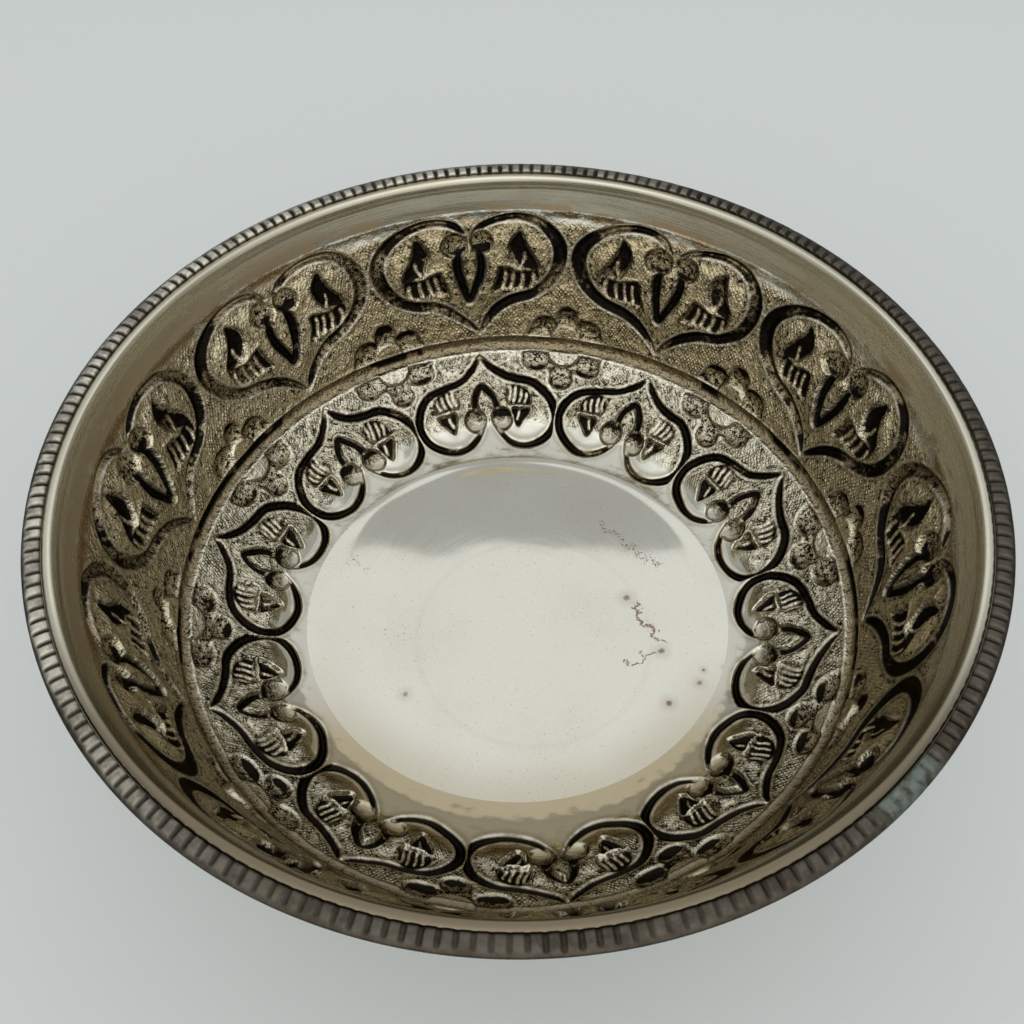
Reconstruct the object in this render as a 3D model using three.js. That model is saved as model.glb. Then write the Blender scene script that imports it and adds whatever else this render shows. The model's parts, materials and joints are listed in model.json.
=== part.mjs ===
// Pedestal bowl in silver-plated sheet metal, after the style of Islamic chased tableware.
// Everything is in millimetres with +Z up. The origin is the centre of the face it rests on.
//
// The bowl is one raised sheet with a flat floor, a shallow lower wall, a crease and a steep
// upper wall. Each wall is chased with ten hearts, and the petals between them. The bowl's lip
// turns out into a flange, and a milled border strip is soldered on that flange. Below the
// floor a collar holds the flange of a stem, whose spigot passes through a turned knop into a
// flared foot. A second milled strip and a base wire finish the foot's edge.

import * as THREE from 'three';

// Bowl
const RIM_DIAMETER = 254;
const BOWL_DEPTH = 77.5;
const BOWL_SHEET = 1;
const FLOOR_DIAMETER = 131;
const COVE_WIDTH = 6;
const COVE_DIP = 0.4;
const LOWER_WALL_SAG = 1.8;
const CREASE_DIAMETER = 202;
const CREASE_HEIGHT = 20.1;
const CREASE_GROOVE_WIDTH = 5.5;
const CREASE_GROOVE_DEPTH = 1.1;
const LIP_ROLL_WIDTH = 1.3;
const LIP_ROLL_HEIGHT = 3.7;
const LIP_SHOULDER_WIDTH = 1.1;
const LIP_SHOULDER_DROP = 0.9;

// Hearts chased into both walls, ten round each. The lower ones hang head down.
const HEART_COUNT = 10;
const FIRST_HEART_ANGLE = THREE.MathUtils.degToRad(98.3);
const UPPER_FRIEZE_HEIGHT = 49.3;
const UPPER_CHANNEL_WIDTH = 5;
const UPPER_CHANNEL_DEPTH = 1.5;
const UPPER_LEAF_DEPTH = 0.9;
const UPPER_PETAL_DEPTH = 1.3;
const LOWER_CHANNEL_WIDTH = 3.8;
const LOWER_CHANNEL_DEPTH = 1.3;
const LOWER_LEAF_DEPTH = 0.8;
const LOWER_PETAL_DEPTH = 1.2;

// Half a heart, in shares of its half of the frieze: how far it lies from the line through the
// heart's tip, how far up from the tip's end, and how much of the channel's depth it has. The
// channel runs from the tip round the lobe, and back to the tip beside the middle leaf.
const LOBE = [
  [0.045, 0.08, 1],
  [0.3, 0.255, 1],
  [0.55, 0.325, 1],
  [0.78, 0.42, 1],
  [0.905, 0.56, 1],
  [0.9, 0.74, 1],
  [0.78, 0.865, 1],
  [0.585, 0.93, 1],
  [0.34, 0.933, 1],
  [0.135, 0.86, 1],
  [0.13, 0.64, 1],
  [0.04, 0.34, 0.2],
];
const LOBE_LEAF = [0.48, 0.61];
const SIDE_PETAL = [0.7, 0.11];
const SIDE_PETAL_FACE = 2;
const TOP_PETAL_HEIGHT = 0.26;
const BORDER_HEIGHT = 0.68;
const MIDDLE_LEAF_HEIGHTS = [0.66, 0.34];
const CHANNEL_MARGIN = 0.012;

// Milled strip on the rim
const RIM_STRIP_WIDTH = 5.5;
const RIM_STRIP_THICKNESS = 1.5;
const RIM_STRIP_OVERHANG = 1.1;
const RIM_RIB_COUNT = 220;

// Section that both milled strips share
const RIB_DEPTH = 0.8;
const STRIP_SIDE_HEIGHT = 0.6;
const STRIP_CROWN_WIDTH = 2.4;
const STRIP_MILLED_DROP = 0.25;

// Pedestal, from the bowl down
const COLLAR_DIAMETER = 70;
const COLLAR_THICKNESS = 1.8;
const COLLAR_BORE = 50;
const COLLAR_LIP_WIDTH = 1.7;
const COLLAR_LIP_DEPTH = 1.2;
const COLLAR_CHAMFER = 0.6;
const STEM_HEIGHT = 14;
const STEM_WAIST_DIAMETER = 35;
const STEM_WAIST_HEIGHT = 4;
const STEM_WALL = 1.4;
const STEM_FLANGE_WIDTH = 6;
const STEM_BASE_DIAMETER = 42;
const STEM_BASE_EDGE = 1;
const SPIGOT_DIAMETER = 31;
const SPIGOT_LENGTH = 8.5;
const KNOP_DIAMETER = 52;
const KNOP_HEIGHT = 6;
const KNOP_ROUND = 3.4;
const FOOT_HEIGHT = 22;
const FOOT_DIAMETER = 120;
const FOOT_SHEET = 1.2;
const FOOT_NECK_DIAMETER = 46;
const FOOT_NECK_EDGE = 1;
const FOOT_FLANGE_WIDTH = 7;
const FOOT_STEP_HEIGHT = 3.2;
const FOOT_SHOULDER_WIDTH = 8;
const FOOT_SHOULDER_RISE = 2.8;
const FOOT_STRIP_WIDTH = 5;
const FOOT_STRIP_THICKNESS = 1.5;
const FOOT_STRIP_INSET = 0.6;
const FOOT_RIB_COUNT = 104;
const BASE_WIRE_WIDTH = 4;
const BASE_WIRE_HEIGHT = 3;
const BASE_WIRE_INSET = 0.4;
const BASE_WIRE_CHAMFER = 0.8;

// Room left between round faces that slide together before they are soldered
const FIT_CLEARANCE = 0.3;

// Facets round each piece, and steps along each quarter round of a section
const FACETS_PER_LOBE = 3;
const BOWL_FACETS = 2 * HEART_COUNT * FACETS_PER_LOBE;
const PEDESTAL_FACETS = 48;
const SMALL_ROUND_STEPS = 2;
const ROUND_STEPS = 3;
const SWEEP_STEPS = 4;

// Heights of the seats, each one stacked on the piece below it
const FOOT_SEAT_Z = BASE_WIRE_HEIGHT;
const KNOP_SEAT_Z = FOOT_SEAT_Z + FOOT_HEIGHT;
const STEM_SEAT_Z = KNOP_SEAT_Z + KNOP_HEIGHT;
const COLLAR_SEAT_Z = STEM_SEAT_Z + STEM_HEIGHT;
const BOWL_SEAT_Z = COLLAR_SEAT_Z + COLLAR_THICKNESS;
const FLOOR_Z = BOWL_SEAT_Z + BOWL_SHEET;
const LIP_Z = FLOOR_Z + BOWL_DEPTH;
const RIM_STRIP_SEAT_Z = LIP_Z - LIP_SHOULDER_DROP;
const FOOT_STRIP_SEAT_Z = FOOT_SEAT_Z + FOOT_SHEET;

// Radii that more than one piece needs
const RIM_RADIUS = RIM_DIAMETER / 2;
const RIM_STRIP_INNER_RADIUS = RIM_RADIUS - RIM_STRIP_WIDTH;
const FOOT_RADIUS = FOOT_DIAMETER / 2;
const COLLAR_LIP_RADIUS = COLLAR_DIAMETER / 2 - COLLAR_LIP_WIDTH;
const SPIGOT_RADIUS = SPIGOT_DIAMETER / 2;
const SPIGOT_HOLE_RADIUS = SPIGOT_RADIUS + FIT_CLEARANCE;

const SILVER = { color: 0xc9c5b8, roughness: 0.24, metalness: 1 };
const TARNISHED_SILVER = { color: 0x6d645a, roughness: 0.42, metalness: 1 };

function point(radius, height) {
  return new THREE.Vector2(radius, height);
}

// Steps + 1 points on a quarter of an ellipse. The curve leaves start along the radius when
// flatStart is true, and along the height when it is false.
function quarterRound(start, end, flatStart, steps) {
  const points = [];
  for (let step = 0; step <= steps; step += 1) {
    const angle = (Math.PI / 2) * (step / steps);
    const early = Math.sin(angle);
    const late = 1 - Math.cos(angle);
    const alongRadius = flatStart ? early : late;
    const alongHeight = flatStart ? late : early;
    points.push(point(
      start.x + (end.x - start.x) * alongRadius,
      start.y + (end.y - start.y) * alongHeight,
    ));
  }
  return points;
}

// Points between start and end on a shallow arc, which leaves the straight way by sag, to the
// right of its direction of travel.
function saggingWall(start, end, sag, steps) {
  const along = end.clone().sub(start);
  const right = point(along.y, -along.x).normalize();
  const points = [];
  for (let step = 1; step < steps; step += 1) {
    const share = step / steps;
    const offset = sag * 4 * share * (1 - share);
    points.push(start.clone().addScaledVector(along, share).addScaledVector(right, offset));
  }
  return points;
}

// An open profile moved sideways by distance, to the right of its direction of travel.
function offsetProfile(profile, distance) {
  const normals = profile.slice(1).map((end, index) => {
    const along = end.clone().sub(profile[index]).normalize();
    return point(along.y, -along.x);
  });
  return profile.map((corner, index) => {
    const before = normals[Math.max(index - 1, 0)];
    const after = normals[Math.min(index, normals.length - 1)];
    const mitre = before.clone().add(after).normalize();
    return corner.clone().addScaledVector(mitre, distance / mitre.dot(after));
  });
}

// The section of a sheet whose upper face is the given profile, going outwards.
function sheetSection(upperFace, thickness) {
  return [...offsetProfile(upperFace, thickness), ...upperFace.slice().reverse()];
}

// A solid turned round the Z axis from a section that starts and ends on that axis.
function turnVessel(section, facets) {
  return new THREE.LatheGeometry(section, facets).rotateX(Math.PI / 2);
}

// A ring turned round the Z axis from a section whose last point joins its first.
function turnRing(section, facets) {
  return turnVessel([...section, section[0].clone()], facets);
}

function makePiece(name, geometry, finish) {
  const mesh = new THREE.Mesh(geometry, new THREE.MeshStandardMaterial(finish));
  mesh.name = name;
  return mesh;
}

// The groove that is chased where the two walls meet: its edges, its sides and its bottom.
function creaseGroove(crease, lowerWallStart, upperWallEnd) {
  const towardsFloor = lowerWallStart.clone().sub(crease).normalize();
  const towardsLip = upperWallEnd.clone().sub(crease).normalize();
  const outward = towardsFloor.clone().add(towardsLip).normalize().negate();
  const lowerEdge = crease.clone().addScaledVector(towardsFloor, CREASE_GROOVE_WIDTH / 2);
  const upperEdge = crease.clone().addScaledVector(towardsLip, CREASE_GROOVE_WIDTH / 2);
  const bottom = crease.clone().addScaledVector(outward, CREASE_GROOVE_DEPTH);
  const swell = CREASE_GROOVE_DEPTH / 3;
  const lowerSide = lowerEdge.clone().lerp(bottom, 0.5).addScaledVector(outward, swell);
  const upperSide = upperEdge.clone().lerp(bottom, 0.5).addScaledVector(outward, swell);
  return [lowerEdge, lowerSide, bottom, upperSide, upperEdge];
}

// Collects the faces of one closed sheet. Corners run anticlockwise as seen from the side that
// the face looks to, or clockwise where flipped is true.
class Sheet {
  constructor() {
    this.corners = [];
  }

  addFace(corners, flipped) {
    const ring = flipped ? corners.slice().reverse() : corners;
    for (let index = 2; index < ring.length; index += 1) {
      this.corners.push(ring[0], ring[index - 1], ring[index]);
    }
  }

  // Faces from each side of a closed ring to one point inside it.
  addFan(ring, middle, flipped) {
    ring.forEach((corner, index) => {
      this.addFace([corner, ring[(index + 1) % ring.length], middle], flipped);
    });
  }

  // The faces between two closed rings of as many points.
  addBand(innerRing, outerRing, flipped) {
    innerRing.forEach((corner, index) => {
      const next = (index + 1) % innerRing.length;
      this.addFace([corner, outerRing[index], outerRing[next], innerRing[next]], flipped);
    });
  }

  toGeometry() {
    const geometry = new THREE.BufferGeometry().setFromPoints(this.corners);
    geometry.computeVertexNormals();
    return geometry;
  }
}

// A point of a section, turned round the Z axis to an angle.
function turned(place, angle) {
  return new THREE.Vector3(place.x * Math.cos(angle), place.x * Math.sin(angle), place.y);
}

// The bowl's facets meet at stations, and station 0 goes through the tip of the first heart.
function stationAngle(station) {
  const wrapped = (station + BOWL_FACETS) % BOWL_FACETS;
  return FIRST_HEART_ANGLE + (2 * Math.PI * wrapped) / BOWL_FACETS;
}

function stationRing(place) {
  return Array.from({ length: BOWL_FACETS }, (_, station) => turned(place, stationAngle(station)));
}

// The place at a distance along an open profile, moved to the right of its direction of travel.
function profilePlace(profile, distance, depth) {
  let index = 0;
  let left = distance;
  while (index < profile.length - 2 && left > profile[index].distanceTo(profile[index + 1])) {
    left -= profile[index].distanceTo(profile[index + 1]);
    index += 1;
  }
  const along = profile[index + 1].clone().sub(profile[index]).normalize();
  return profile[index].clone()
    .addScaledVector(along, left)
    .addScaledVector(point(along.y, -along.x), depth);
}

function profileLength(profile) {
  return profile.slice(1).reduce((sum, corner, index) => sum + corner.distanceTo(profile[index]), 0);
}

// The points of a closed line, each moved sideways by distance: outwards for a line that runs
// anticlockwise. They stay inside the half of the frieze, whose width and height are given.
function widened(line, distance, width, height) {
  return line.map((corner, index) => {
    const before = line[(index + line.length - 1) % line.length];
    const after = line[(index + 1) % line.length];
    const along = corner.clone().sub(before).normalize().add(after.clone().sub(corner).normalize());
    const outward = point(along.y, -along.x).normalize();
    const moved = corner.clone().addScaledVector(outward, distance);
    const low = point(width, height).multiplyScalar(CHANNEL_MARGIN);
    const high = point(width, height).multiplyScalar(1 - CHANNEL_MARGIN);
    return moved.clamp(low, high);
  });
}

// Chases half a heart into one face of the sheet. Side is 1 for the half on the right as seen
// from inside the bowl, and -1 for the half on the left.
function chaseHalfHeart(sheet, frieze, tipStation, side) {
  const { tipEdge, farEdge, height, place } = frieze;
  const width = ((tipEdge.x + farEdge.x) / 2) * (Math.PI / HEART_COUNT);
  const flipped = side > 0 ? frieze.flipped : !frieze.flipped;
  const angleAt = (steps) => stationAngle(tipStation - side * steps);
  const onStation = (steps, share, depth) => turned(place(share * height, depth), angleAt(steps));
  const onSheet = (spot, depth) => {
    const angle = angleAt(0) - (side * spot.x * Math.PI) / (HEART_COUNT * width);
    return turned(place(spot.y, depth), angle);
  };
  const stations = Array.from({ length: FACETS_PER_LOBE + 1 }, (_, steps) => steps);
  const border = [
    ...stations.map((steps) => turned(tipEdge, angleAt(steps))),
    onStation(FACETS_PER_LOBE, TOP_PETAL_HEIGHT, frieze.petalDepth),
    onStation(FACETS_PER_LOBE, BORDER_HEIGHT, 0),
    ...stations.toReversed().map((steps) => turned(farEdge, angleAt(steps))),
    ...MIDDLE_LEAF_HEIGHTS.map((share) => onStation(0, share, 0)),
  ];
  const line = LOBE.map(([across, up]) => point(across * width, up * height));
  const halfChannel = frieze.channelWidth / 2;
  const rings = [
    border,
    widened(line, halfChannel, width, height).map((spot) => onSheet(spot, 0)),
    line.map((spot, index) => onSheet(spot, frieze.channelDepth * LOBE[index][2])),
    widened(line, -halfChannel, width, height).map((spot) => onSheet(spot, 0)),
  ];
  const leaf = onSheet(point(LOBE_LEAF[0] * width, LOBE_LEAF[1] * height), frieze.leafDepth);
  const petal = onSheet(point(SIDE_PETAL[0] * width, SIDE_PETAL[1] * height), frieze.petalDepth);
  border.forEach((_, index) => {
    const next = (index + 1) % border.length;
    rings.slice(1).forEach((inner, layer) => {
      const outer = rings[layer];
      const face = [outer[index], outer[next], inner[next], inner[index]];
      if (layer === 0 && index === SIDE_PETAL_FACE) {
        sheet.addFan(face, petal, flipped);
      } else {
        sheet.addFace(face, flipped);
      }
    });
  });
  sheet.addFan(rings[rings.length - 1], leaf, flipped);
}

// The two friezes on one face of the sheet. Each gives both edges of its wall, the one by the
// hearts' tips first, and place(v, depth): the place at distance v from the tips' edge.
function makeFriezes(lowerWall, upperWall, tipEdges, farEdges, layer) {
  const tipInset = CREASE_GROOVE_WIDTH / 2;
  const lowerHeight = profileLength(lowerWall) - tipInset;
  return [
    {
      tipEdge: tipEdges[0],
      farEdge: farEdges[0],
      height: lowerHeight,
      channelWidth: LOWER_CHANNEL_WIDTH,
      channelDepth: LOWER_CHANNEL_DEPTH,
      leafDepth: LOWER_LEAF_DEPTH,
      petalDepth: LOWER_PETAL_DEPTH,
      flipped: !layer.isBack,
      place: (v, depth) => profilePlace(lowerWall, lowerHeight - v, depth + layer.depth),
    },
    {
      tipEdge: tipEdges[1],
      farEdge: farEdges[1],
      height: UPPER_FRIEZE_HEIGHT - tipInset,
      channelWidth: UPPER_CHANNEL_WIDTH,
      channelDepth: UPPER_CHANNEL_DEPTH,
      leafDepth: UPPER_LEAF_DEPTH,
      petalDepth: UPPER_PETAL_DEPTH,
      flipped: layer.isBack,
      place: (v, depth) => profilePlace(upperWall, tipInset + v, depth + layer.depth),
    },
  ];
}

function makeBowlShell() {
  const floorEdge = point(FLOOR_DIAMETER / 2, FLOOR_Z);
  const coveLow = point(floorEdge.x + COVE_WIDTH / 2, FLOOR_Z - COVE_DIP);
  const coveEnd = point(floorEdge.x + COVE_WIDTH, FLOOR_Z);
  const crease = point(CREASE_DIAMETER / 2, FLOOR_Z + CREASE_HEIGHT);
  const flangeStart = point(RIM_STRIP_INNER_RADIUS - FIT_CLEARANCE, RIM_STRIP_SEAT_Z);
  const flangeEnd = point(RIM_RADIUS - RIM_STRIP_OVERHANG, RIM_STRIP_SEAT_Z);
  const lipTop = point(flangeStart.x - LIP_SHOULDER_WIDTH, LIP_Z);
  const rollStart = point(lipTop.x - LIP_ROLL_WIDTH, LIP_Z - LIP_ROLL_HEIGHT);
  const sag = saggingWall(coveEnd, crease, LOWER_WALL_SAG, SWEEP_STEPS);
  const lowerWall = [coveLow, coveEnd, ...sag, crease];
  const upperWall = [crease, rollStart];
  const groove = creaseGroove(crease, sag[sag.length - 1], rollStart);
  const friezeTop = profilePlace(upperWall, UPPER_FRIEZE_HEIGHT, 0);
  const innerFace = [
    point(0, FLOOR_Z),
    floorEdge,
    ...lowerWall.slice(0, -1),
    ...groove,
    friezeTop,
    ...quarterRound(rollStart, lipTop, false, SMALL_ROUND_STEPS),
    flangeStart,
    flangeEnd,
  ];
  const floorSide = [floorEdge, coveLow].map((corner) => innerFace.indexOf(corner));
  const grooveSide = [groove[0], groove[groove.length - 1]].map((corner) => innerFace.indexOf(corner));
  const lipSide = [grooveSide[1] + 1, innerFace.length - 1];
  const layers = [{ depth: 0, isBack: false }, { depth: BOWL_SHEET, isBack: true }];
  const sheet = new Sheet();
  const flangeRings = layers.map((layer) => {
    const face = offsetProfile(innerFace, layer.depth);
    const rings = face.map(stationRing);
    sheet.addFan(rings[floorSide[0]], turned(face[0], 0), layer.isBack);
    for (const [start, end] of [floorSide, grooveSide, lipSide]) {
      for (let index = start; index < end; index += 1) {
        sheet.addBand(rings[index], rings[index + 1], layer.isBack);
      }
    }
    const tipEdges = grooveSide.map((index) => face[index]);
    const farEdges = [face[floorSide[1]], face[lipSide[0]]];
    for (const frieze of makeFriezes(lowerWall, upperWall, tipEdges, farEdges, layer)) {
      for (let heart = 0; heart < HEART_COUNT; heart += 1) {
        const tipStation = 2 * FACETS_PER_LOBE * heart;
        chaseHalfHeart(sheet, frieze, tipStation, 1);
        chaseHalfHeart(sheet, frieze, tipStation, -1);
      }
    }
    return rings[lipSide[1]];
  });
  sheet.addBand(flangeRings[0], flangeRings[1], false);
  return makePiece('bowl_shell', sheet.toGeometry(), SILVER);
}

// A flat-bottomed strip bent into a hoop. One edge is milled into ribs, which run out into the
// plain crown half way across. Two stations make one rib: a crest and a valley.
function milledHoop({ plainRadius, milledRadius, thickness, seatZ, ribCount }) {
  const topZ = seatZ + thickness;
  const milledSide = Math.sign(milledRadius - plainRadius);
  const milledEdge = point(milledRadius, topZ - STRIP_MILLED_DROP);
  const section = [
    point(plainRadius, seatZ),
    point(plainRadius, seatZ + STRIP_SIDE_HEIGHT),
    point(plainRadius + milledSide * STRIP_CROWN_WIDTH, topZ),
    milledEdge,
    point(milledRadius, seatZ),
  ];
  if (milledSide > 0) section.reverse();
  const milledCorner = section.indexOf(milledEdge);
  const stations = 2 * ribCount;
  const hoop = turnRing(section, stations);
  const positions = hoop.getAttribute('position');
  for (let station = 1; station < stations; station += 2) {
    const vertex = station * (section.length + 1) + milledCorner;
    positions.setZ(vertex, positions.getZ(vertex) - RIB_DEPTH);
  }
  return hoop;
}

function makeRimBorderStrip() {
  const hoop = milledHoop({
    plainRadius: RIM_RADIUS,
    milledRadius: RIM_STRIP_INNER_RADIUS,
    thickness: RIM_STRIP_THICKNESS,
    seatZ: RIM_STRIP_SEAT_Z,
    ribCount: RIM_RIB_COUNT,
  });
  return makePiece('rim_border_strip', hoop, TARNISHED_SILVER);
}

// The collar is soldered under the floor, and its lip hangs down round the stem's flange.
function makePedestalCollar() {
  const outerRadius = COLLAR_DIAMETER / 2;
  const boreRadius = COLLAR_BORE / 2;
  const lipZ = COLLAR_SEAT_Z - COLLAR_LIP_DEPTH;
  const section = [
    point(boreRadius, COLLAR_SEAT_Z),
    point(COLLAR_LIP_RADIUS, COLLAR_SEAT_Z),
    point(COLLAR_LIP_RADIUS, lipZ),
    point(outerRadius - COLLAR_CHAMFER, lipZ),
    point(outerRadius, lipZ + COLLAR_CHAMFER),
    point(outerRadius, BOWL_SEAT_Z - COLLAR_CHAMFER),
    point(outerRadius - COLLAR_CHAMFER, BOWL_SEAT_Z),
    point(boreRadius, BOWL_SEAT_Z),
  ];
  return makePiece('pedestal_collar', turnRing(section, PEDESTAL_FACETS), SILVER);
}

// A hollow spool: a spigot that goes down through the knop, a waist, and a flange on top.
function makePedestalStem() {
  const flangeRadius = COLLAR_LIP_RADIUS - FIT_CLEARANCE;
  const flangeInnerRadius = flangeRadius - STEM_FLANGE_WIDTH;
  const boreRadius = SPIGOT_RADIUS - STEM_WALL;
  const baseRadius = STEM_BASE_DIAMETER / 2;
  const spigotEndZ = STEM_SEAT_Z - SPIGOT_LENGTH;
  const flangeUnderZ = COLLAR_SEAT_Z - COLLAR_LIP_DEPTH;
  const waist = point(STEM_WAIST_DIAMETER / 2, STEM_SEAT_Z + STEM_WAIST_HEIGHT);
  const flangeRoot = point(flangeInnerRadius, flangeUnderZ);
  const boreTop = point(boreRadius, waist.y);
  const mouth = point(flangeInnerRadius - STEM_WALL, COLLAR_SEAT_Z);
  const section = [
    point(boreRadius, spigotEndZ),
    point(SPIGOT_RADIUS, spigotEndZ),
    point(SPIGOT_RADIUS, STEM_SEAT_Z),
    point(baseRadius, STEM_SEAT_Z),
    point(baseRadius, STEM_SEAT_Z + STEM_BASE_EDGE),
    ...quarterRound(waist, flangeRoot, false, ROUND_STEPS),
    point(flangeRadius, flangeUnderZ),
    point(flangeRadius, COLLAR_SEAT_Z),
    ...quarterRound(boreTop, mouth, false, SMALL_ROUND_STEPS).reverse(),
  ];
  return makePiece('pedestal_stem', turnRing(section, PEDESTAL_FACETS), SILVER);
}

function makeStemKnop() {
  const outerRadius = KNOP_DIAMETER / 2;
  const flatRadius = outerRadius - KNOP_ROUND;
  const middleZ = KNOP_SEAT_Z + KNOP_HEIGHT / 2;
  const lowerRound = quarterRound(
    point(flatRadius, KNOP_SEAT_Z),
    point(outerRadius, middleZ),
    true,
    ROUND_STEPS,
  );
  const upperRound = quarterRound(
    point(outerRadius, middleZ),
    point(flatRadius, STEM_SEAT_Z),
    false,
    ROUND_STEPS,
  );
  const section = [
    point(SPIGOT_HOLE_RADIUS, KNOP_SEAT_Z),
    ...lowerRound,
    ...upperRound.slice(1),
    point(SPIGOT_HOLE_RADIUS, STEM_SEAT_Z),
  ];
  return makePiece('stem_knop', turnRing(section, PEDESTAL_FACETS), SILVER);
}

// The spun foot, from the hole in its neck out to the flange that carries the border strip.
function makePedestalFoot() {
  const neckRadius = FOOT_NECK_DIAMETER / 2;
  const stepRadius = FOOT_RADIUS - FOOT_FLANGE_WIDTH;
  const stepTop = point(stepRadius, FOOT_STRIP_SEAT_Z + FOOT_STEP_HEIGHT);
  const shoulderTop = point(
    stepRadius - FOOT_SHOULDER_WIDTH,
    stepTop.y + FOOT_SHOULDER_RISE,
  );
  const neckEdge = point(neckRadius, KNOP_SEAT_Z - FOOT_NECK_EDGE);
  const upperFace = [
    point(SPIGOT_HOLE_RADIUS, KNOP_SEAT_Z),
    point(neckRadius - FOOT_NECK_EDGE, KNOP_SEAT_Z),
    ...quarterRound(neckEdge, shoulderTop, false, SWEEP_STEPS),
    ...quarterRound(shoulderTop, stepTop, true, SMALL_ROUND_STEPS).slice(1),
    point(stepRadius, FOOT_STRIP_SEAT_Z),
    point(FOOT_RADIUS, FOOT_STRIP_SEAT_Z),
  ];
  const section = sheetSection(upperFace, FOOT_SHEET);
  return makePiece('pedestal_foot', turnRing(section, PEDESTAL_FACETS), SILVER);
}

function makeFootBorderStrip() {
  const milledRadius = FOOT_RADIUS - FOOT_STRIP_INSET;
  const hoop = milledHoop({
    plainRadius: milledRadius - FOOT_STRIP_WIDTH,
    milledRadius,
    thickness: FOOT_STRIP_THICKNESS,
    seatZ: FOOT_STRIP_SEAT_Z,
    ribCount: FOOT_RIB_COUNT,
  });
  return makePiece('foot_border_strip', hoop, TARNISHED_SILVER);
}

// The wire that the bowl stands on, soldered under the foot's flange.
function makeFootBaseWire() {
  const outerRadius = FOOT_RADIUS - BASE_WIRE_INSET;
  const innerRadius = outerRadius - BASE_WIRE_WIDTH;
  const section = [
    point(innerRadius + BASE_WIRE_CHAMFER, 0),
    point(outerRadius - BASE_WIRE_CHAMFER, 0),
    point(outerRadius, BASE_WIRE_CHAMFER),
    point(outerRadius, FOOT_SEAT_Z),
    point(innerRadius, FOOT_SEAT_Z),
    point(innerRadius, BASE_WIRE_CHAMFER),
  ];
  return makePiece('foot_base_wire', turnRing(section, PEDESTAL_FACETS), SILVER);
}

const group = new THREE.Group();
group.add(makeBowlShell());
group.add(makeRimBorderStrip());
group.add(makePedestalCollar());
group.add(makePedestalStem());
group.add(makeStemKnop());
group.add(makePedestalFoot());
group.add(makeFootBorderStrip());
group.add(makeFootBaseWire());

export default group;
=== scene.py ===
"""Dresses the pedestal bowl: chased silver-plated sheet on a low turned pedestal.

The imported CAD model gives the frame. The bowl's solid is replaced by a chased wall in ten
sectors, a floor disc and a plain band with the lip, and both milled strips and the turned
pieces of the pedestal get fuller shapes in the same places.
"""

import json
import logging
import math
from dataclasses import dataclass
from dataclasses import field
from dataclasses import replace

import bpy
import numpy as np
from mathutils import Matrix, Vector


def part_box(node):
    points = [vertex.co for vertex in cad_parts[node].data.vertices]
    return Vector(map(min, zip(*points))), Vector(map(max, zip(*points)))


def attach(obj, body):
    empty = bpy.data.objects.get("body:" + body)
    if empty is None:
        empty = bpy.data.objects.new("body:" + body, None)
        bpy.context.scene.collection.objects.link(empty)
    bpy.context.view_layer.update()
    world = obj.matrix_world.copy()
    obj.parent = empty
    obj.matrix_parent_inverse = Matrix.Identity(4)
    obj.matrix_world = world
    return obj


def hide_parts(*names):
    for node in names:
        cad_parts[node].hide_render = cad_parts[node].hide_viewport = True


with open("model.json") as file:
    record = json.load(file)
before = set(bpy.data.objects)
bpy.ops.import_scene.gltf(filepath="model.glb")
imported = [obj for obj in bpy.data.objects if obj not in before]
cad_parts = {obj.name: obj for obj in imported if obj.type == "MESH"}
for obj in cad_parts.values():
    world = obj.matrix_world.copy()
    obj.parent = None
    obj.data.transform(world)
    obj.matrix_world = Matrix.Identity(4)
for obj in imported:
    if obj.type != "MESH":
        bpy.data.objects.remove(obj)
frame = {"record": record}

LOG = logging.getLogger("pedestal_bowl")
MM = 0.001
FULL_TURN = 2 * math.pi
BODY = "root"
SECTORS = 10
SECTOR_ANGLE = FULL_TURN / SECTORS
FIRST_TIP_ANGLE = math.radians(98.3)

# The milled strips and the rim strip's soldered joint, in millimetres
RIM_STRIP_WIDTH = 4.6
FOOT_STRIP_WIDTH = 5.0
JOINT_ANGLE = math.radians(-48)
JOINT_RADIUS = 122

# What every punch leaves round its print, in millimetres
PUNCH_REACH = 3.0
EDGE_WIDTH = 0.42
EDGE_RISE = 0.06
RIM_OFFSET = 0.2
PRINT_EDGE = (0.0, 0.6)
HALO = 0.42

# Where finishes change: across the bowl in metres, and up the wall in millimetres
LEFT_SIDE = (-0.03, -0.10)
ABOVE_CREASE = (-3.0, 1.0)

Pair = tuple[float, float]
Points = tuple[Pair, ...]
Colour = tuple[float, float, float]


def fade(value: np.ndarray, start: float, end: float) -> np.ndarray:
    """Rises smoothly from 0 at start to 1 at end."""
    share = np.clip((value - start) / (end - start), 0, 1)
    return share * share * (3 - 2 * share)


def line_glow(distance: np.ndarray, width: float) -> np.ndarray:
    """A soft line: 1 where the distance is 0, almost 0 from twice the width on."""
    return np.exp(-((distance / width) ** 2))


def softened(values: np.ndarray) -> np.ndarray:
    """Blurs a lattice by one step each way.

    Args:
        values: The lattice, whose last column is its first one again.

    Returns:
        The blurred lattice.
    """
    ring = values[:, :-1]
    ring = (np.roll(ring, 1, 1) + 2 * ring + np.roll(ring, -1, 1)) / 4
    tall = np.pad(ring, ((1, 1), (0, 0)), mode="edge")
    ring = (tall[:-2] + 2 * tall[1:-1] + tall[2:]) / 4
    return np.concatenate([ring, ring[:, :1]], 1)


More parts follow.
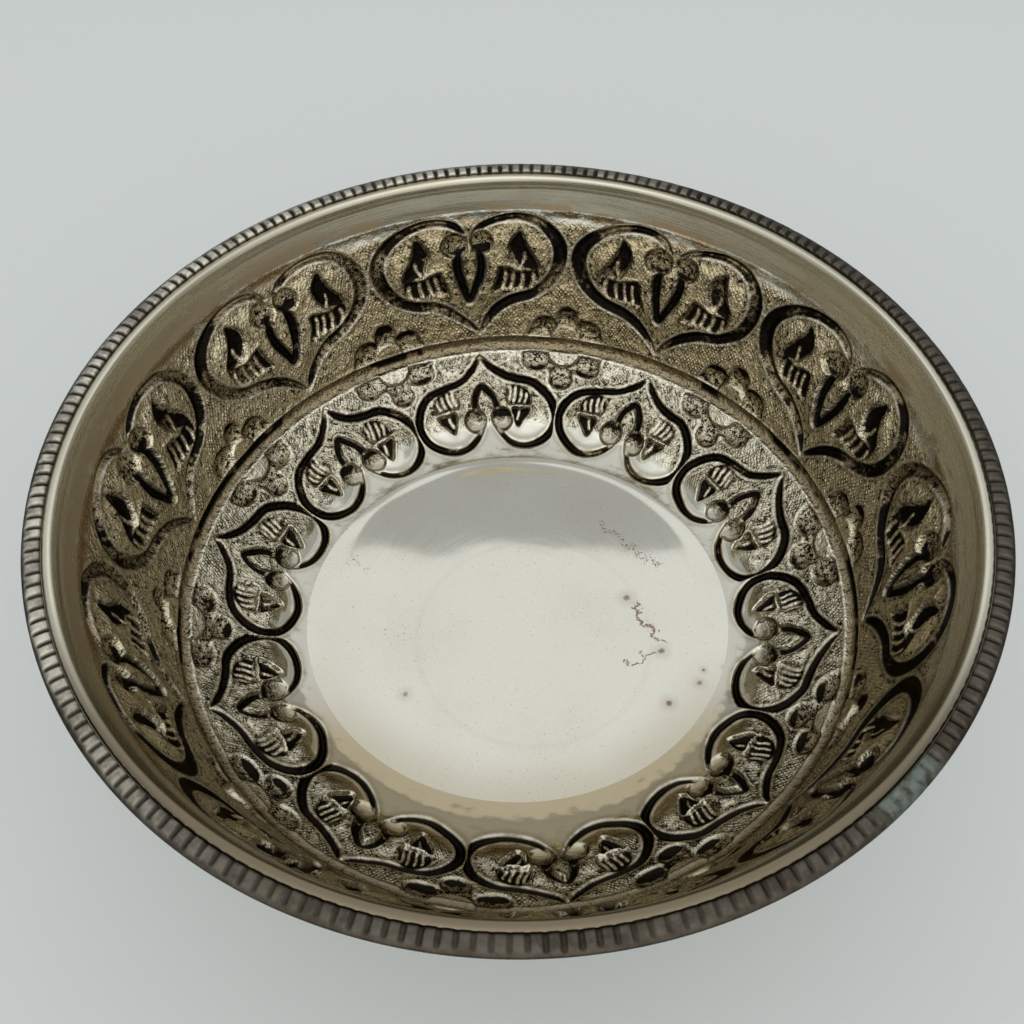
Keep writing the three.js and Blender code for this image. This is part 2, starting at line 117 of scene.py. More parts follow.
def waves(x: np.ndarray, v: np.ndarray, pitch: float, seed: int, count: int = 7) -> np.ndarray:
    """Gentle random swell made of a few plane waves.

    Args:
        x: First coordinate.
        v: Second coordinate, in the same unit.
        pitch: Mean wavelength in that unit.
        seed: Number that picks the waves.
        count: How many waves are added.

    Returns:
        Heights of about -1 to 1.
    """
    pick = np.random.default_rng(seed)
    total = np.zeros_like(x)
    for _ in range(count):
        turn = pick.uniform(0, FULL_TURN)
        rate = FULL_TURN / (pitch * pick.uniform(0.6, 1.7))
        total += np.sin(rate * (x * math.cos(turn) + v * math.sin(turn)) + pick.uniform(0, FULL_TURN))
    return total / math.sqrt(count)


def smooth_line(points: Points, closed: bool = False, steps: int = 8) -> tuple[np.ndarray, np.ndarray]:
    """Draws a smooth line through given points.

    Args:
        points: The points, in millimetres.
        closed: Whether the last point runs on into the first.
        steps: Steps from one point to the next.

    Returns:
        The line's points, and for each one its place counted in given points.
    """
    knots = np.asarray(points, float)
    count = len(knots)
    shares = np.arange(steps) / steps
    t = shares[:, None]
    line = []
    places = []
    for index in range(count if closed else count - 1):
        b = knots[index]
        c = knots[(index + 1) % count]
        a = knots[index - 1] if closed or index else 2 * b - c
        d = knots[(index + 2) % count] if closed or index + 2 < count else 2 * c - b
        bend = (2 * a - 5 * b + 4 * c - d) * t**2 + (3 * b - 3 * c + d - a) * t**3
        line.append(b + 0.5 * ((c - a) * t + bend))
        places.append(index + shares)
    line.append(line[0][:1] if closed else knots[-1:])
    places.append(np.array([places[-1][0] + 1.0]))
    return np.concatenate(line), np.concatenate(places)


def distance_to_line(line: np.ndarray, x: np.ndarray, v: np.ndarray) -> tuple[np.ndarray, np.ndarray]:
    """Measures how far points lie from a line.

    Args:
        line: The line's points, one row each.
        x: First coordinate of the points.
        v: Second coordinate of the points.

    Returns:
        The distances, and the place on the line of the nearest point.
    """
    start = line[:-1]
    along = line[1:] - start
    length = np.maximum((along**2).sum(1), 1e-12)
    off_x = x[:, None] - start[None, :, 0]
    off_v = v[:, None] - start[None, :, 1]
    share = np.clip((off_x * along[:, 0] + off_v * along[:, 1]) / length, 0, 1)
    square = (off_x - share * along[:, 0]) ** 2 + (off_v - share * along[:, 1]) ** 2
    nearest = square.argmin(1)
    rows = np.arange(len(x))
    return np.sqrt(square[rows, nearest]), nearest + share[rows, nearest]


def lies_inside(line: np.ndarray, x: np.ndarray, v: np.ndarray) -> np.ndarray:
    """Says for each point whether it lies inside a closed line.

    Args:
        line: The line's points, one row each.
        x: First coordinate of the points.
        v: Second coordinate of the points.

    Returns:
        True for each point inside.
    """
    start = line[:-1]
    end = line[1:]
    crosses = (start[None, :, 1] > v[:, None]) != (end[None, :, 1] > v[:, None])
    rise = end[:, 1] - start[:, 1]
    rise = np.where(np.abs(rise) < 1e-9, 1e-9, rise)
    meet = start[:, 0] + (v[:, None] - start[None, :, 1]) / rise * (end[:, 0] - start[:, 0])
    return (crosses & (x[:, None] < meet)).sum(1) % 2 == 1


def mirrored(points: Points, side: float) -> Points:
    """The points as they are, or mirrored when side is -1."""
    return tuple((side * x, v) for x, v in points)


@dataclass
class Relief:
    """The chasing on a patch of sheet, seen from inside the bowl; all lengths in millimetres.

    Heights are positive towards the inside of the bowl. The other arrays run from 0 to 1.
    """

    x: np.ndarray
    v: np.ndarray
    height: np.ndarray = field(init=False)
    patina: np.ndarray = field(init=False)
    hatch: np.ndarray = field(init=False)
    burnish_and_highlight: np.ndarray = field(init=False)

    def __post_init__(self) -> None:
        """Starts from plain sheet that is hatched all over."""
        self.height = np.zeros(len(self.x))
        self.patina = np.zeros(len(self.x))
        self.burnish_and_highlight = np.zeros(len(self.x))
        self.hatch = np.ones(len(self.x))

    def near(self, line: np.ndarray, margin: float) -> np.ndarray:
        """Finds the points round a line.

        Args:
            line: The line's points.
            margin: How far round the line's box they may lie.

        Returns:
            Their indices.
        """
        low = line.min(0) - margin
        high = line.max(0) + margin
        wide = (self.x > low[0]) & (self.x < high[0])
        return np.flatnonzero(wide & (self.v > low[1]) & (self.v < high[1]))

    def outline(self, points: Points, margin: float) -> tuple[np.ndarray, np.ndarray]:
        """Finds the points in and round a closed outline.

        Args:
            points: The outline's given points.
            margin: How far round it points are looked for.

        Returns:
            Their indices, and how far inside the outline each lies, less than 0 outside it.
        """
        line, _ = smooth_line(points, closed=True)
        at = self.near(line, margin)
        distance, _ = distance_to_line(line, self.x[at], self.v[at])
        return at, np.where(lies_inside(line, self.x[at], self.v[at]), distance, -distance)

    def ball(self, centre: Pair, radii: Pair) -> tuple[np.ndarray, np.ndarray, np.ndarray]:
        """Finds the points in and round the print of a ball punch.

        Args:
            centre: The print's centre.
            radii: How far it reaches sideways and up.

        Returns:
            Their indices, their distance from the centre as a share of the radius, and how far
            inside the print each lies.
        """
        middle = np.array(centre)
        half = np.array(radii)
        at = self.near(np.array([middle - half, middle + half]), PUNCH_REACH)
        share = np.hypot((self.x[at] - middle[0]) / half[0], (self.v[at] - middle[1]) / half[1])
        return at, share, (1 - share) * half.mean()

    def press(self, at: np.ndarray, depth: np.ndarray) -> None:
        """Presses the sheet outwards to a depth, where it isn't deeper already."""
        pressed = depth > 0
        where = at[pressed]
        self.height[where] = np.minimum(self.height[where], -depth[pressed])

    def edge(self, at: np.ndarray, distance: np.ndarray, share: float = 1.0) -> None:
        """Raises and burnishes the line that the punch leaves along an edge, and marks it for a painted
        highlight.
        """
        line = share * line_glow(distance, EDGE_WIDTH)
        self.height[at] += EDGE_RISE * line
        self.burnish_and_highlight[at] = np.maximum(self.burnish_and_highlight[at], line)

    def darken(self, at: np.ndarray, amount: np.ndarray) -> None:
        """Leaves black patina, where there isn't more already; the dimples also leave painted shade with it.
        """
        self.patina[at] = np.maximum(self.patina[at], amount)

    def smooth(self, at: np.ndarray, left: np.ndarray) -> None:
        """Takes the hatching down to what is left of it."""
        self.hatch[at] = np.minimum(self.hatch[at], left)


@dataclass(frozen=True)
class Channel:
    """A chased groove with a round bottom along a line; its pairs are distances outwards."""

    points: Points
    widths: tuple[float, ...]
    depth: float
    patina: float = 1.0
    flat_share: float = 0.05
    full_half: float = 1.4
    patina_edge: Pair = (-0.3, 0.35)
    halo_edge: Pair = (0.3, 2.6)
    hatch_edge: Pair = (0.5, 1.5)

    def chase(self, relief: Relief, side: float = 1.0) -> None:
        """Adds the groove to the relief.

        Args:
            relief: The patch of sheet.
            side: 1, or -1 to mirror the groove.
        """
        line, places = smooth_line(mirrored(self.points, side))
        at = relief.near(line, max(self.widths) / 2 + PUNCH_REACH)
        distance, place = distance_to_line(line, relief.x[at], relief.v[at])
        knot = np.interp(place, np.arange(len(places)), places)
        half = np.interp(knot, np.arange(len(self.widths)), self.widths) / 2
        across = np.clip(distance / half, 0, 1)
        bottom = 1 - fade(across, self.flat_share, 1.0)
        relief.press(at, self.depth * bottom * np.minimum(1, half / self.full_half))
        off = distance - half
        relief.edge(at, off)
        relief.darken(at, self.patina * (1 - fade(off, *self.patina_edge)))
        relief.darken(at, HALO * (1 - fade(off, *self.halo_edge)))
        relief.smooth(at, fade(off, *self.hatch_edge))


@dataclass(frozen=True)
class Hollow:
    """A flat-bottomed hollow inside a closed outline; its pairs are distances inwards."""

    points: Points
    depth: float
    slope: float = 1.4
    patina: float = 1.0
    rim: float = 1.0
    wall_start: float = -0.1
    patina_edge: Pair = (-0.25, 1.0)
    halo_edge: Pair = (-2.0, -0.3)
    hatch_edge: Pair = (-0.2, -0.9)

    def chase(self, relief: Relief, side: float = 1.0) -> None:
        """Adds the hollow to the relief.

        Args:
            relief: The patch of sheet.
            side: 1, or -1 to mirror the hollow.
        """
        at, inward = relief.outline(mirrored(self.points, side), PUNCH_REACH)
        relief.press(at, self.depth * fade(inward, self.wall_start, self.slope))
        relief.burnish_and_highlight[at] *= 1 - fade(inward, *PRINT_EDGE)
        relief.edge(at, inward + RIM_OFFSET, self.rim)
        relief.darken(at, self.patina * fade(inward, *self.patina_edge))
        relief.darken(at, HALO * fade(inward, *self.halo_edge))
        relief.smooth(at, fade(inward, *self.hatch_edge))


@dataclass(frozen=True)
class Dimple:
    """A round hollow made with a ball punch; its patina is darkened towards one side as a painted shade
    crescent, 1 up and -1 down.
    """

    centre: Pair
    radii: Pair
    depth: float
    patina: float = 0.7
    rim: float = 1.0
    # The side that gets the painted shade crescent, the share of patina left all over, and the painted shade
    # added on that side.
    painted_shade_side: float = -1.0
    least_patina: float = 0.5
    crescent_shade: float = 0.8
    hatch_left: float = 0.3

    def chase(self, relief: Relief, side: float = 1.0) -> None:
        """Adds the dimple to the relief.

        Args:
            relief: The patch of sheet.
            side: 1, or -1 to mirror the dimple.
        """
        at, share, inward = relief.ball((side * self.centre[0], self.centre[1]), self.radii)
        relief.press(at, self.depth * np.sqrt(np.clip(1 - share**2, 0, 1)))
        relief.burnish_and_highlight[at] *= 1 - fade(inward, *PRINT_EDGE)
        relief.edge(at, inward + RIM_OFFSET, self.rim)
        # Painted shade: more black towards one side of the dimple, as a crescent.
        lean = self.painted_shade_side * (relief.v[at] - self.centre[1]) / self.radii[1]
        patina_share_with_shade = self.least_patina + self.crescent_shade * fade(lean, -0.1, 0.8)
        relief.patina[at] *= 1 - fade(inward, -0.2, 0.5)
        relief.darken(at, self.patina * patina_share_with_shade * fade(inward, -0.2, 0.6))
        relief.smooth(at, np.where(inward > 0.3, self.hatch_left, fade(-inward, 0.2, 0.8)))


@dataclass(frozen=True)
class Boss:
    """A smooth round dome that is left standing in the middle of a hollow."""

    centre: Pair
    radii: Pair
    rise: float
    foot: Pair = (-0.6, 0.5)
    roundness: float = 0.8

    def chase(self, relief: Relief, side: float = 1.0) -> None:
        """Adds the dome to the relief.

        Args:
            relief: The patch of sheet.
            side: 1, or -1 to mirror the dome.
        """
        at, reach, inward = relief.ball((side * self.centre[0], self.centre[1]), self.radii)
        share = fade(inward, *self.foot)
        dome = self.rise * np.sqrt(np.clip(1 - self.roundness * reach**2, 0, 1))
        relief.height[at] = relief.height[at] * (1 - share) + dome * share
        relief.patina[at] *= 1 - share
        relief.edge(at, inward - RIM_OFFSET)
        relief.smooth(at, 1 - share)


@dataclass(frozen=True)
class Ridge:
    """A thin burnished line that stands up from the bottom of a hollow, with a painted highlight along it.
    """

    points: Points
    width: float
    rise: float
    end_rise: float = 0.35
    end_steps: float = 4
    # How much painted highlight the burnished line gets.
    burnish: float = 0.75

    def chase(self, relief: Relief, side: float = 1.0) -> None:
        """Adds the ridge to the relief.

        Args:
            relief: The patch of sheet.
            side: 1, or -1 to mirror the ridge.
        """
        line, _ = smooth_line(mirrored(self.points, side))
        at = relief.near(line, PUNCH_REACH)
        distance, place = distance_to_line(line, relief.x[at], relief.v[at])
        to_end = np.minimum(place, len(line) - 1 - place) / self.end_steps
        form = line_glow(distance, self.width) * np.clip(self.end_rise + to_end, 0, 1)
        relief.height[at] += self.rise * form
        relief.patina[at] *= 1 - np.clip(form * 1.5, 0, 1)
        relief.burnish_and_highlight[at] = np.maximum(relief.burnish_and_highlight[at], self.burnish * form)


@dataclass(frozen=True)
class Pillow:
    """Sheet that domes up inside an outline, as it does when its edge is chased down."""

    points: Points
    rise: float
    inset: float = 2.5
    reach: float = 8.0
    rubbed: float = 0.35

    def chase(self, relief: Relief) -> None:
        """Adds the dome to the relief."""
        at, inward = relief.outline(self.points, 0.0)
        relief.height[at] += self.rise * fade(inward, self.inset, self.reach)
        relief.smooth(at, 1 - self.rubbed * fade(inward, 1, 3))


Element = Channel | Hollow | Dimple | Boss | Ridge


def moved(element: Element, shift: float) -> Element:
    """Copies a chased element to another place.

    Args:
        element: The element.
        shift: How far sideways the copy goes.

    Returns:
        The copy.
    """
    if isinstance(element, (Dimple, Boss)):
        return replace(element, centre=(element.centre[0] + shift, element.centre[1]))
    return replace(element, points=tuple((x + shift, v) for x, v in element.points))


@dataclass(frozen=True)
class Motif:
    """What is chased in one sector of a frieze, in millimetres at its reference radius.

    Elements in single are chased as they are, those in paired once on each side. The first two of
    single are the heart's outline. Past plain_edge the ground isn't hatched.
    """

    reference_radius: float
    single: tuple[Element, ...]
    paired: tuple[Element, ...]
    rosette: tuple[Element, ...]
    plain_edge: Pair
    pillow: float = 1.0

    def chase(self, relief: Relief) -> None:
        """Chases the heart, and the rosettes that it shares with its neighbours."""
        left, right = self.single[:2]
        Pillow(left.points + right.points[:0:-1], self.pillow).chase(relief)
        half_sector = self.reference_radius * SECTOR_ANGLE / 2
        for element in self.rosette:
            for side in (-1, 1):
                moved(element, side * half_sector).chase(relief)
        for element in self.single:
            element.chase(relief)
        for element in self.paired:
            for side in (1, -1):
                element.chase(relief, side)


UPPER_HEART = Motif(
    reference_radius=108,
    single=(
        Channel(
            points=((1.2, 4.6), (-2.6, 9.2), (-8.0, 13.8), (-14.0, 16.6), (-20.6, 18.4), (-25.6, 21.6),
                    (-29.2, 26.0), (-31.2, 31.2), (-30.8, 36.4), (-27.6, 40.8), (-22.6, 44.2),
                    (-16.2, 46.4), (-9.8, 46.7), (-4.6, 44.8), (-1.6, 41.6)),
            widths=(1.2, 3.2, 4.2, 4.4, 4.4, 4.8, 5.4, 5.6, 5.4, 4.8, 4.0, 3.4, 3.2, 3.2, 2.0),
            depth=1.35,
        ),
        Channel(
            points=((1.2, 4.6), (4.2, 9.0), (8.6, 13.4), (14.0, 16.8), (20.4, 19.0), (25.4, 22.4),
                    (28.6, 26.6), (30.2, 31.6), (30.0, 36.8), (27.4, 41.6), (23.0, 45.2),
                    (16.6, 46.8), (10.2, 46.0), (5.0, 43.8), (2.0, 41.4)),
            widths=(1.2, 3.2, 4.0, 4.2, 4.2, 4.6, 5.0, 5.2, 5.2, 4.8, 4.0, 3.2, 3.0, 3.0, 2.0),
            depth=1.35,
        ),
        Channel(
            points=((-3.4, 34.8), (-4.1, 31.0), (-3.7, 26.0), (-2.1, 21.0), (-0.4, 17.2),
                    (1.5, 21.0), (3.1, 26.0), (3.8, 31.0), (3.4, 34.8)),
            widths=(2.6, 3.3, 3.4, 3.0, 2.8, 3.0, 3.4, 3.3, 2.6),
            depth=1.2,
            patina=1.3,
        ),
        Dimple((-4.6, 37.8), (4.6, 4.3), 1.6, 0.8, 0.4),
        Dimple((4.5, 38.0), (4.1, 4.2), 1.6, 0.95, 0.4),
    ),
    paired=(
        Hollow(
            points=((-17.8, 42.4), (-14.6, 39.6), (-13.4, 36.0), (-14.4, 32.4), (-16.6, 29.2),
                    (-19.6, 27.6), (-23.4, 27.2), (-23.2, 30.8), (-20.8, 34.2), (-18.9, 38.2)),
            depth=0.9,
            slope=1.8,
            patina=1.25,
            rim=0.6,
        ),
        Hollow(
            points=((-23.6, 27.6), (-20.0, 28.0), (-16.6, 27.2), (-12.6, 28.4), (-10.2, 28.6),
                    (-9.0, 24.4), (-7.8, 20.2), (-11.0, 20.4), (-14.2, 20.6), (-17.6, 20.6),
                    (-21.4, 21.2), (-23.2, 23.8)),
            depth=0.8,
            slope=1.6,
            patina=1.25,
            rim=0.15,
        ),
        Ridge(((-18.4, 33.6), (-18.3, 31.0), (-17.2, 28.6)), 0.40, 0.6),
        Ridge(((-17.2, 27.9), (-14.0, 29.4), (-11.0, 29.9), (-8.8, 29.9)), 0.42, 0.4),
        Ridge(((-21.4, 26.4), (-21.6, 23.6), (-20.6, 20.8)), 0.48, 0.5),
        Ridge(((-18.0, 26.6), (-18.0, 23.6), (-17.0, 20.4)), 0.48, 0.5),
        Ridge(((-15.0, 26.6), (-14.9, 23.6), (-13.8, 20.2)), 0.48, 0.5),
        Ridge(((-12.4, 26.8), (-12.2, 23.6), (-11.0, 20.2)), 0.48, 0.5),
    ),
    rosette=(
        Hollow(
            points=((-13.2, 2.6), (-13.6, 6.2), (-11.8, 9.3), (-8.6, 10.2), (-5.9, 8.8), (-4.2, 8.0),
                    (-4.0, 10.6), (-2.0, 13.4), (0.6, 14.6), (3.2, 13.2), (4.8, 10.4), (5.0, 7.8),
                    (7.0, 8.6), (9.8, 9.6), (12.9, 8.8), (14.4, 6.0), (14.0, 2.6), (0.4, 1.6)),
            depth=1.1,
            slope=1.8,
            patina=0.85,
        ),
        Dimple((-7.6, 7.0), (5.4, 3.8), 1.8, 0.9, 0.0, 1.0),
        Dimple((8.2, 6.8), (5.6, 3.7), 1.8, 0.95, 0.0, 1.0),
        Dimple((0.5, 10.4), (4.2, 4.6), 1.8, 1.05, 0.0, 1.0),
        Boss((0.3, 2.4), (5.6, 5.4), 0.3),
    ),
    plain_edge=(43, 47),
)

LOWER_HEART = Motif(
    reference_radius=86,
    single=(
        Channel(
            points=((1.1, 4.6), (-1.6, 8.6), (-6.6, 12.4), (-12.6, 13.8), (-18.0, 15.4), (-21.6, 18.2),
                    (-24.4, 22.6), (-25.2, 26.8), (-24.0, 31.2), (-20.4, 34.6), (-14.6, 36.8),
                    (-8.8, 36.4), (-4.4, 34.2), (-1.8, 31.6)),
            widths=(1.2, 2.8, 3.0, 3.2, 3.4, 3.6, 3.8, 3.8, 3.8, 3.6, 3.2, 2.8, 2.6, 1.8),
            depth=1.2,
            patina=1.25,
        ),
        Channel(
            points=((1.1, 4.6), (4.0, 8.6), (8.0, 11.6), (12.6, 13.2), (17.6, 14.0), (21.4, 16.4),
                    (24.8, 20.0), (27.2, 25.4), (27.2, 30.0), (24.6, 34.0), (19.8, 36.6),
                    (14.2, 37.2), (9.0, 35.8), (5.4, 32.8), (3.6, 30.8)),
            widths=(1.2, 2.8, 3.2, 3.6, 3.6, 3.8, 3.8, 3.8, 3.8, 3.6, 3.0, 2.8, 2.6, 2.2, 1.6),
            depth=1.2,
            patina=1.25,
        ),
        Channel(
            points=((-2.9, 24.6), (-3.0, 21.2), (-1.9, 17.8), (0.3, 15.2), (2.7, 17.4), (4.6, 20.6),
                    (5.2, 24.6)),
            widths=(2.6, 2.6, 2.6, 2.6, 2.6, 2.6, 2.8),
            depth=1.1,
            patina=1.3,
        ),
        Dimple((-3.8, 28.0), (4.2, 4.2), 1.5, 0.85, 0.7),
        Dimple((6.4, 28.0), (4.3, 4.3), 1.5, 0.9, 0.7),
    ),
    paired=(
        Hollow(
            points=((-17.6, 23.6), (-14.2, 24.2), (-11.0, 23.8), (-10.8, 27.0), (-12.7, 31.2),
                    (-15.4, 28.4), (-17.2, 25.8)),
            depth=0.9,
            patina=1.3,
        ),
        Hollow(
            points=((-17.8, 22.6), (-13.6, 22.4), (-9.6, 22.8), (-9.2, 19.4), (-10.4, 15.4),
                    (-13.4, 15.0), (-16.8, 16.6), (-18.2, 19.4)),
            depth=0.7,
            slope=1.4,
            patina=1.3,
            rim=0.15,
        ),
        Ridge(((-13.6, 24.6), (-13.2, 26.6), (-12.4, 28.6)), 0.45, 0.4),
        Ridge(((-16.4, 23.0), (-13.0, 23.4), (-9.6, 22.6), (-8.2, 21.4)), 0.48, 0.4),
        Ridge(((-16.4, 18.2), (-16.4, 20.2), (-15.4, 22.2)), 0.45, 0.45),
        Ridge(((-14.6, 17.0), (-14.5, 19.4), (-13.6, 22.0)), 0.45, 0.45),
        Ridge(((-12.6, 16.0), (-12.4, 19.0), (-11.4, 22.0)), 0.48, 0.45),
        Ridge(((-10.9, 15.8), (-10.8, 18.8), (-9.9, 21.8)), 0.45, 0.45),
    ),
    rosette=(
        Hollow(
            points=((-12.6, 2.6), (-13.4, 6.0), (-11.6, 9.2), (-8.4, 10.2), (-5.4, 9.2), (-3.9, 10.6),
                    (-3.8, 13.6), (-1.8, 16.0), (0.8, 16.6), (3.4, 15.2), (4.4, 12.6), (4.2, 10.2),
                    (6.6, 10.6), (9.8, 10.2), (12.2, 8.0), (12.6, 4.8), (12.0, 2.6), (0.0, 1.6)),
            depth=1.0,
            slope=1.8,
            patina=0.6,
        ),
        Dimple((-8.4, 6.2), (4.8, 4.0), 1.6, 0.75, 0.0, 1.0),
        Dimple((8.0, 6.6), (4.6, 4.0), 1.6, 0.8, 0.0, 1.0),
        Dimple((0.4, 12.7), (3.9, 3.6), 1.6, 0.8, 0.0, 1.0),
        Boss((0.2, 2.8), (5.0, 4.9), 0.3),
    ),
    plain_edge=(26, 31),
)


@dataclass(frozen=True)
class BowlSizes:
    """Sizes of the bowl's sheet in millimetres, measured from its floor as in the frame."""

    floor_z: float
    rim_radius: float
    sheet: float = 1.0
    floor_radius: float = 65.5
    cove_width: float = 6.0
    cove_rise: float = 0.5
    wall_sag: float = 1.8
    crease_radius: float = 101.0
    crease_rise: float = 20.1
    crease_half_width: float = 2.75
    crease_depth: float = 1.1
    roll_radius: float = 118.8
    roll_rise: float = 73.8
    frieze_height: float = 49.3
    disc_stretch: float = 1.6
    heart_gap: float = 4.5
    heart_stretch: float = 0.55
    heart_shift: float = 2.5
    section_points: int = 60

    def lower_wall(self) -> np.ndarray:
        """Points of the inner face from the crease down to the floor's edge."""
        crease = np.array([self.crease_radius, self.crease_rise])
        cove_end = np.array([self.floor_radius + self.cove_width, self.cove_rise])
        floor_edge = np.array([self.floor_radius, 0.0])
        share = np.linspace(0, 1, self.section_points)[:, None]
        along = cove_end - crease
        out = np.array([-along[1], along[0]]) / np.hypot(*along)
        wall = crease + share * along + out * self.wall_sag * 4 * share * (1 - share)
        cove = cove_end + share * (floor_edge - cove_end)
        cove[:, 1] = self.cove_rise * (1 - share[:, 0]) ** 2
        return np.concatenate([wall, cove[1:]])

    def upper_wall(self) -> np.ndarray:
        """Points of the inner face from the crease up to the top of the frieze."""
        crease = np.array([self.crease_radius, self.crease_rise])
        lip = np.array([self.roll_radius, self.roll_rise])
        along = (lip - crease) / np.hypot(*(lip - crease))
        return crease + np.linspace(0, self.frieze_height, self.section_points)[:, None] * along


def walk(points: np.ndarray) -> np.ndarray:
    """Distance walked along a line up to each of its points."""
    steps = np.hypot(*(points[1:] - points[:-1]).T)
    return np.concatenate([[0.0], np.cumsum(steps)])


def offset_line(points: np.ndarray, distance: float) -> np.ndarray:
    """Moves an open line sideways.

    Args:
        points: The line's points, one row each.
        distance: How far to the right of its direction of travel it moves.

    Returns:
        The moved points.
    """
    along = points[1:] - points[:-1]
    along /= np.hypot(*along.T)[:, None]
    right = np.stack([along[:, 1], -along[:, 0]], 1)
    before = np.concatenate([right[:1], right])
    after = np.concatenate([right, right[-1:]])
    mitre = before + after
    mitre /= np.hypot(*mitre.T)[:, None]
    return points + mitre * (distance / (mitre * after).sum(1))[:, None]


def rounded(points: Points, radii: tuple[float, ...], steps: int = 4) -> np.ndarray:
    """Rounds the corners of a closed section.

    Args:
        points: The corners, in millimetres.
        radii: How far each corner's round reaches along its two sides; 0 keeps it sharp.
        steps: Steps along each round.

    Returns:
        The points of the rounded section.
    """
    corners = np.asarray(points, float)
    out = []
    for index, corner in enumerate(corners):
        if radii[index] == 0:
            out.append(corner)
            continue
        before = corners[index - 1] - corner
        after = corners[(index + 1) % len(corners)] - corner
        start = corner + before * min(0.5, radii[index] / np.hypot(*before))
        end = corner + after * min(0.5, radii[index] / np.hypot(*after))
        for share in np.linspace(0, 1, steps + 1):
            out.append((1 - share) ** 2 * start + 2 * share * (1 - share) * corner + share**2 * end)
    return np.array(out)


def quarter_round(start: Pair, end: Pair, flat_start: bool, steps: int = 12) -> list[Pair]:
    """Draws a quarter of an ellipse.

    Args:
        start: Radius and height where it starts.
        end: Radius and height where it ends.
        flat_start: Whether it leaves start along the radius, and not along the height.
        steps: Steps along it.

    Returns:
        Its points.
    """
    angles = np.linspace(0, math.pi / 2, steps + 1)
    early = np.sin(angles)
    late = 1 - np.cos(angles)
    along_radius, along_height = (early, late) if flat_start else (late, early)
    radius = start[0] + (end[0] - start[0]) * along_radius
    height = start[1] + (end[1] - start[1]) * along_height
    return list(zip(radius.tolist(), height.tolist()))


class MeshWork:
    """Bench work on meshes: turning sections and reading or moving what was turned."""

    MERGE_REACH = 1e-6
    MOST_ARCS = 60

    @staticmethod
    def deselect() -> None:
        """Leaves nothing selected."""
        if bpy.context.object and bpy.context.object.mode != "OBJECT":
            bpy.ops.object.mode_set(mode="OBJECT")
        bpy.ops.object.select_all(action="DESELECT")

    @classmethod
    def turn(cls, name: str, section: np.ndarray, steps: int, hollow: bool = True) -> bpy.types.Object:
        """Spins a section round the bowl's axis.

        Args:
            name: The new piece's name.
            section: Radius and height of its points, in millimetres.
            steps: Steps all round.
            hollow: False if the section's first and last points lie on the axis.

        Returns:
            The turned piece, closed and with its faces outwards.
        """
        cls.deselect()
        bpy.ops.mesh.primitive_circle_add(vertices=len(section), radius=1.0, fill_type="NOTHING")
        piece = bpy.context.object
        piece.name = name
        piece.data.name = name
        places = np.zeros((len(section), 3))
        places[:, 0] = section[:, 0] * MM
        places[:, 2] = section[:, 1] * MM
        piece.data.vertices.foreach_set("co", places.ravel())
        if not hollow:
            cls.drop_axis_edge(piece, len(section))
        bpy.ops.object.mode_set(mode="EDIT")
        bpy.ops.mesh.select_mode(type="VERT")
        bpy.ops.mesh.select_all(action="SELECT")
        counts = range(1, cls.MOST_ARCS + 1)
        arcs = max(count for count in counts if steps % count == 0 and count**2 <= 2 * steps)
        axis = {"center": (0, 0, 0), "axis": (0, 0, 1)}
        bpy.ops.mesh.spin(steps=steps // arcs, angle=FULL_TURN / arcs, **axis)
        bpy.ops.mesh.select_all(action="SELECT")
        bpy.ops.mesh.spin(steps=arcs - 1, angle=FULL_TURN * (arcs - 1) / arcs, dupli=True, **axis)
        bpy.ops.mesh.select_all(action="SELECT")
        bpy.ops.mesh.remove_doubles(threshold=cls.MERGE_REACH)
        bpy.ops.mesh.normals_make_consistent(inside=False)
        bpy.ops.object.mode_set(mode="OBJECT")
        return piece

    @staticmethod
    def drop_axis_edge(piece: bpy.types.Object, count: int) -> None:
        """Deletes the edge that joins a section's two ends along the axis.

        Args:
            piece: The section's object.
            count: How many points it has.
        """
        bpy.ops.object.mode_set(mode="EDIT")
        bpy.ops.mesh.select_mode(type="EDGE")
        bpy.ops.mesh.select_all(action="DESELECT")
        bpy.ops.object.mode_set(mode="OBJECT")
        for edge in piece.data.edges:
            edge.select = set(edge.vertices) == {0, count - 1}
        bpy.ops.object.mode_set(mode="EDIT")
        bpy.ops.mesh.delete(type="EDGE")
        bpy.ops.object.mode_set(mode="OBJECT")

    @staticmethod
    def places(piece: bpy.types.Object) -> np.ndarray:
        """The piece's vertices in millimetres, one row each."""
        flat = np.empty(len(piece.data.vertices) * 3)
        piece.data.vertices.foreach_get("co", flat)
        return flat.reshape(-1, 3) / MM

    @staticmethod
    def put(piece: bpy.types.Object, places: np.ndarray) -> None:
        """Moves the piece's vertices to places given in millimetres."""
        piece.data.vertices.foreach_set("co", (places * MM).ravel())
        piece.data.update()

    @staticmethod
    def smooth(piece: bpy.types.Object, angle: float) -> None:
        """Shades the piece smoothly, apart from edges sharper than the angle in degrees."""
        MeshWork.deselect()
        piece.select_set(True)
        bpy.context.view_layer.objects.active = piece
        bpy.ops.object.shade_smooth_by_angle(angle=math.radians(angle))

    @staticmethod
    def write(piece: bpy.types.Object, name: str, values: np.ndarray) -> None:
        """Stores one number, or three, for each vertex of the piece."""
        kind, key = ("FLOAT", "value") if values.ndim == 1 else ("FLOAT_VECTOR", "vector")
        layer = piece.data.attributes.new(name, kind, "POINT")
        layer.data.foreach_set(key, values.astype(np.float32).ravel())


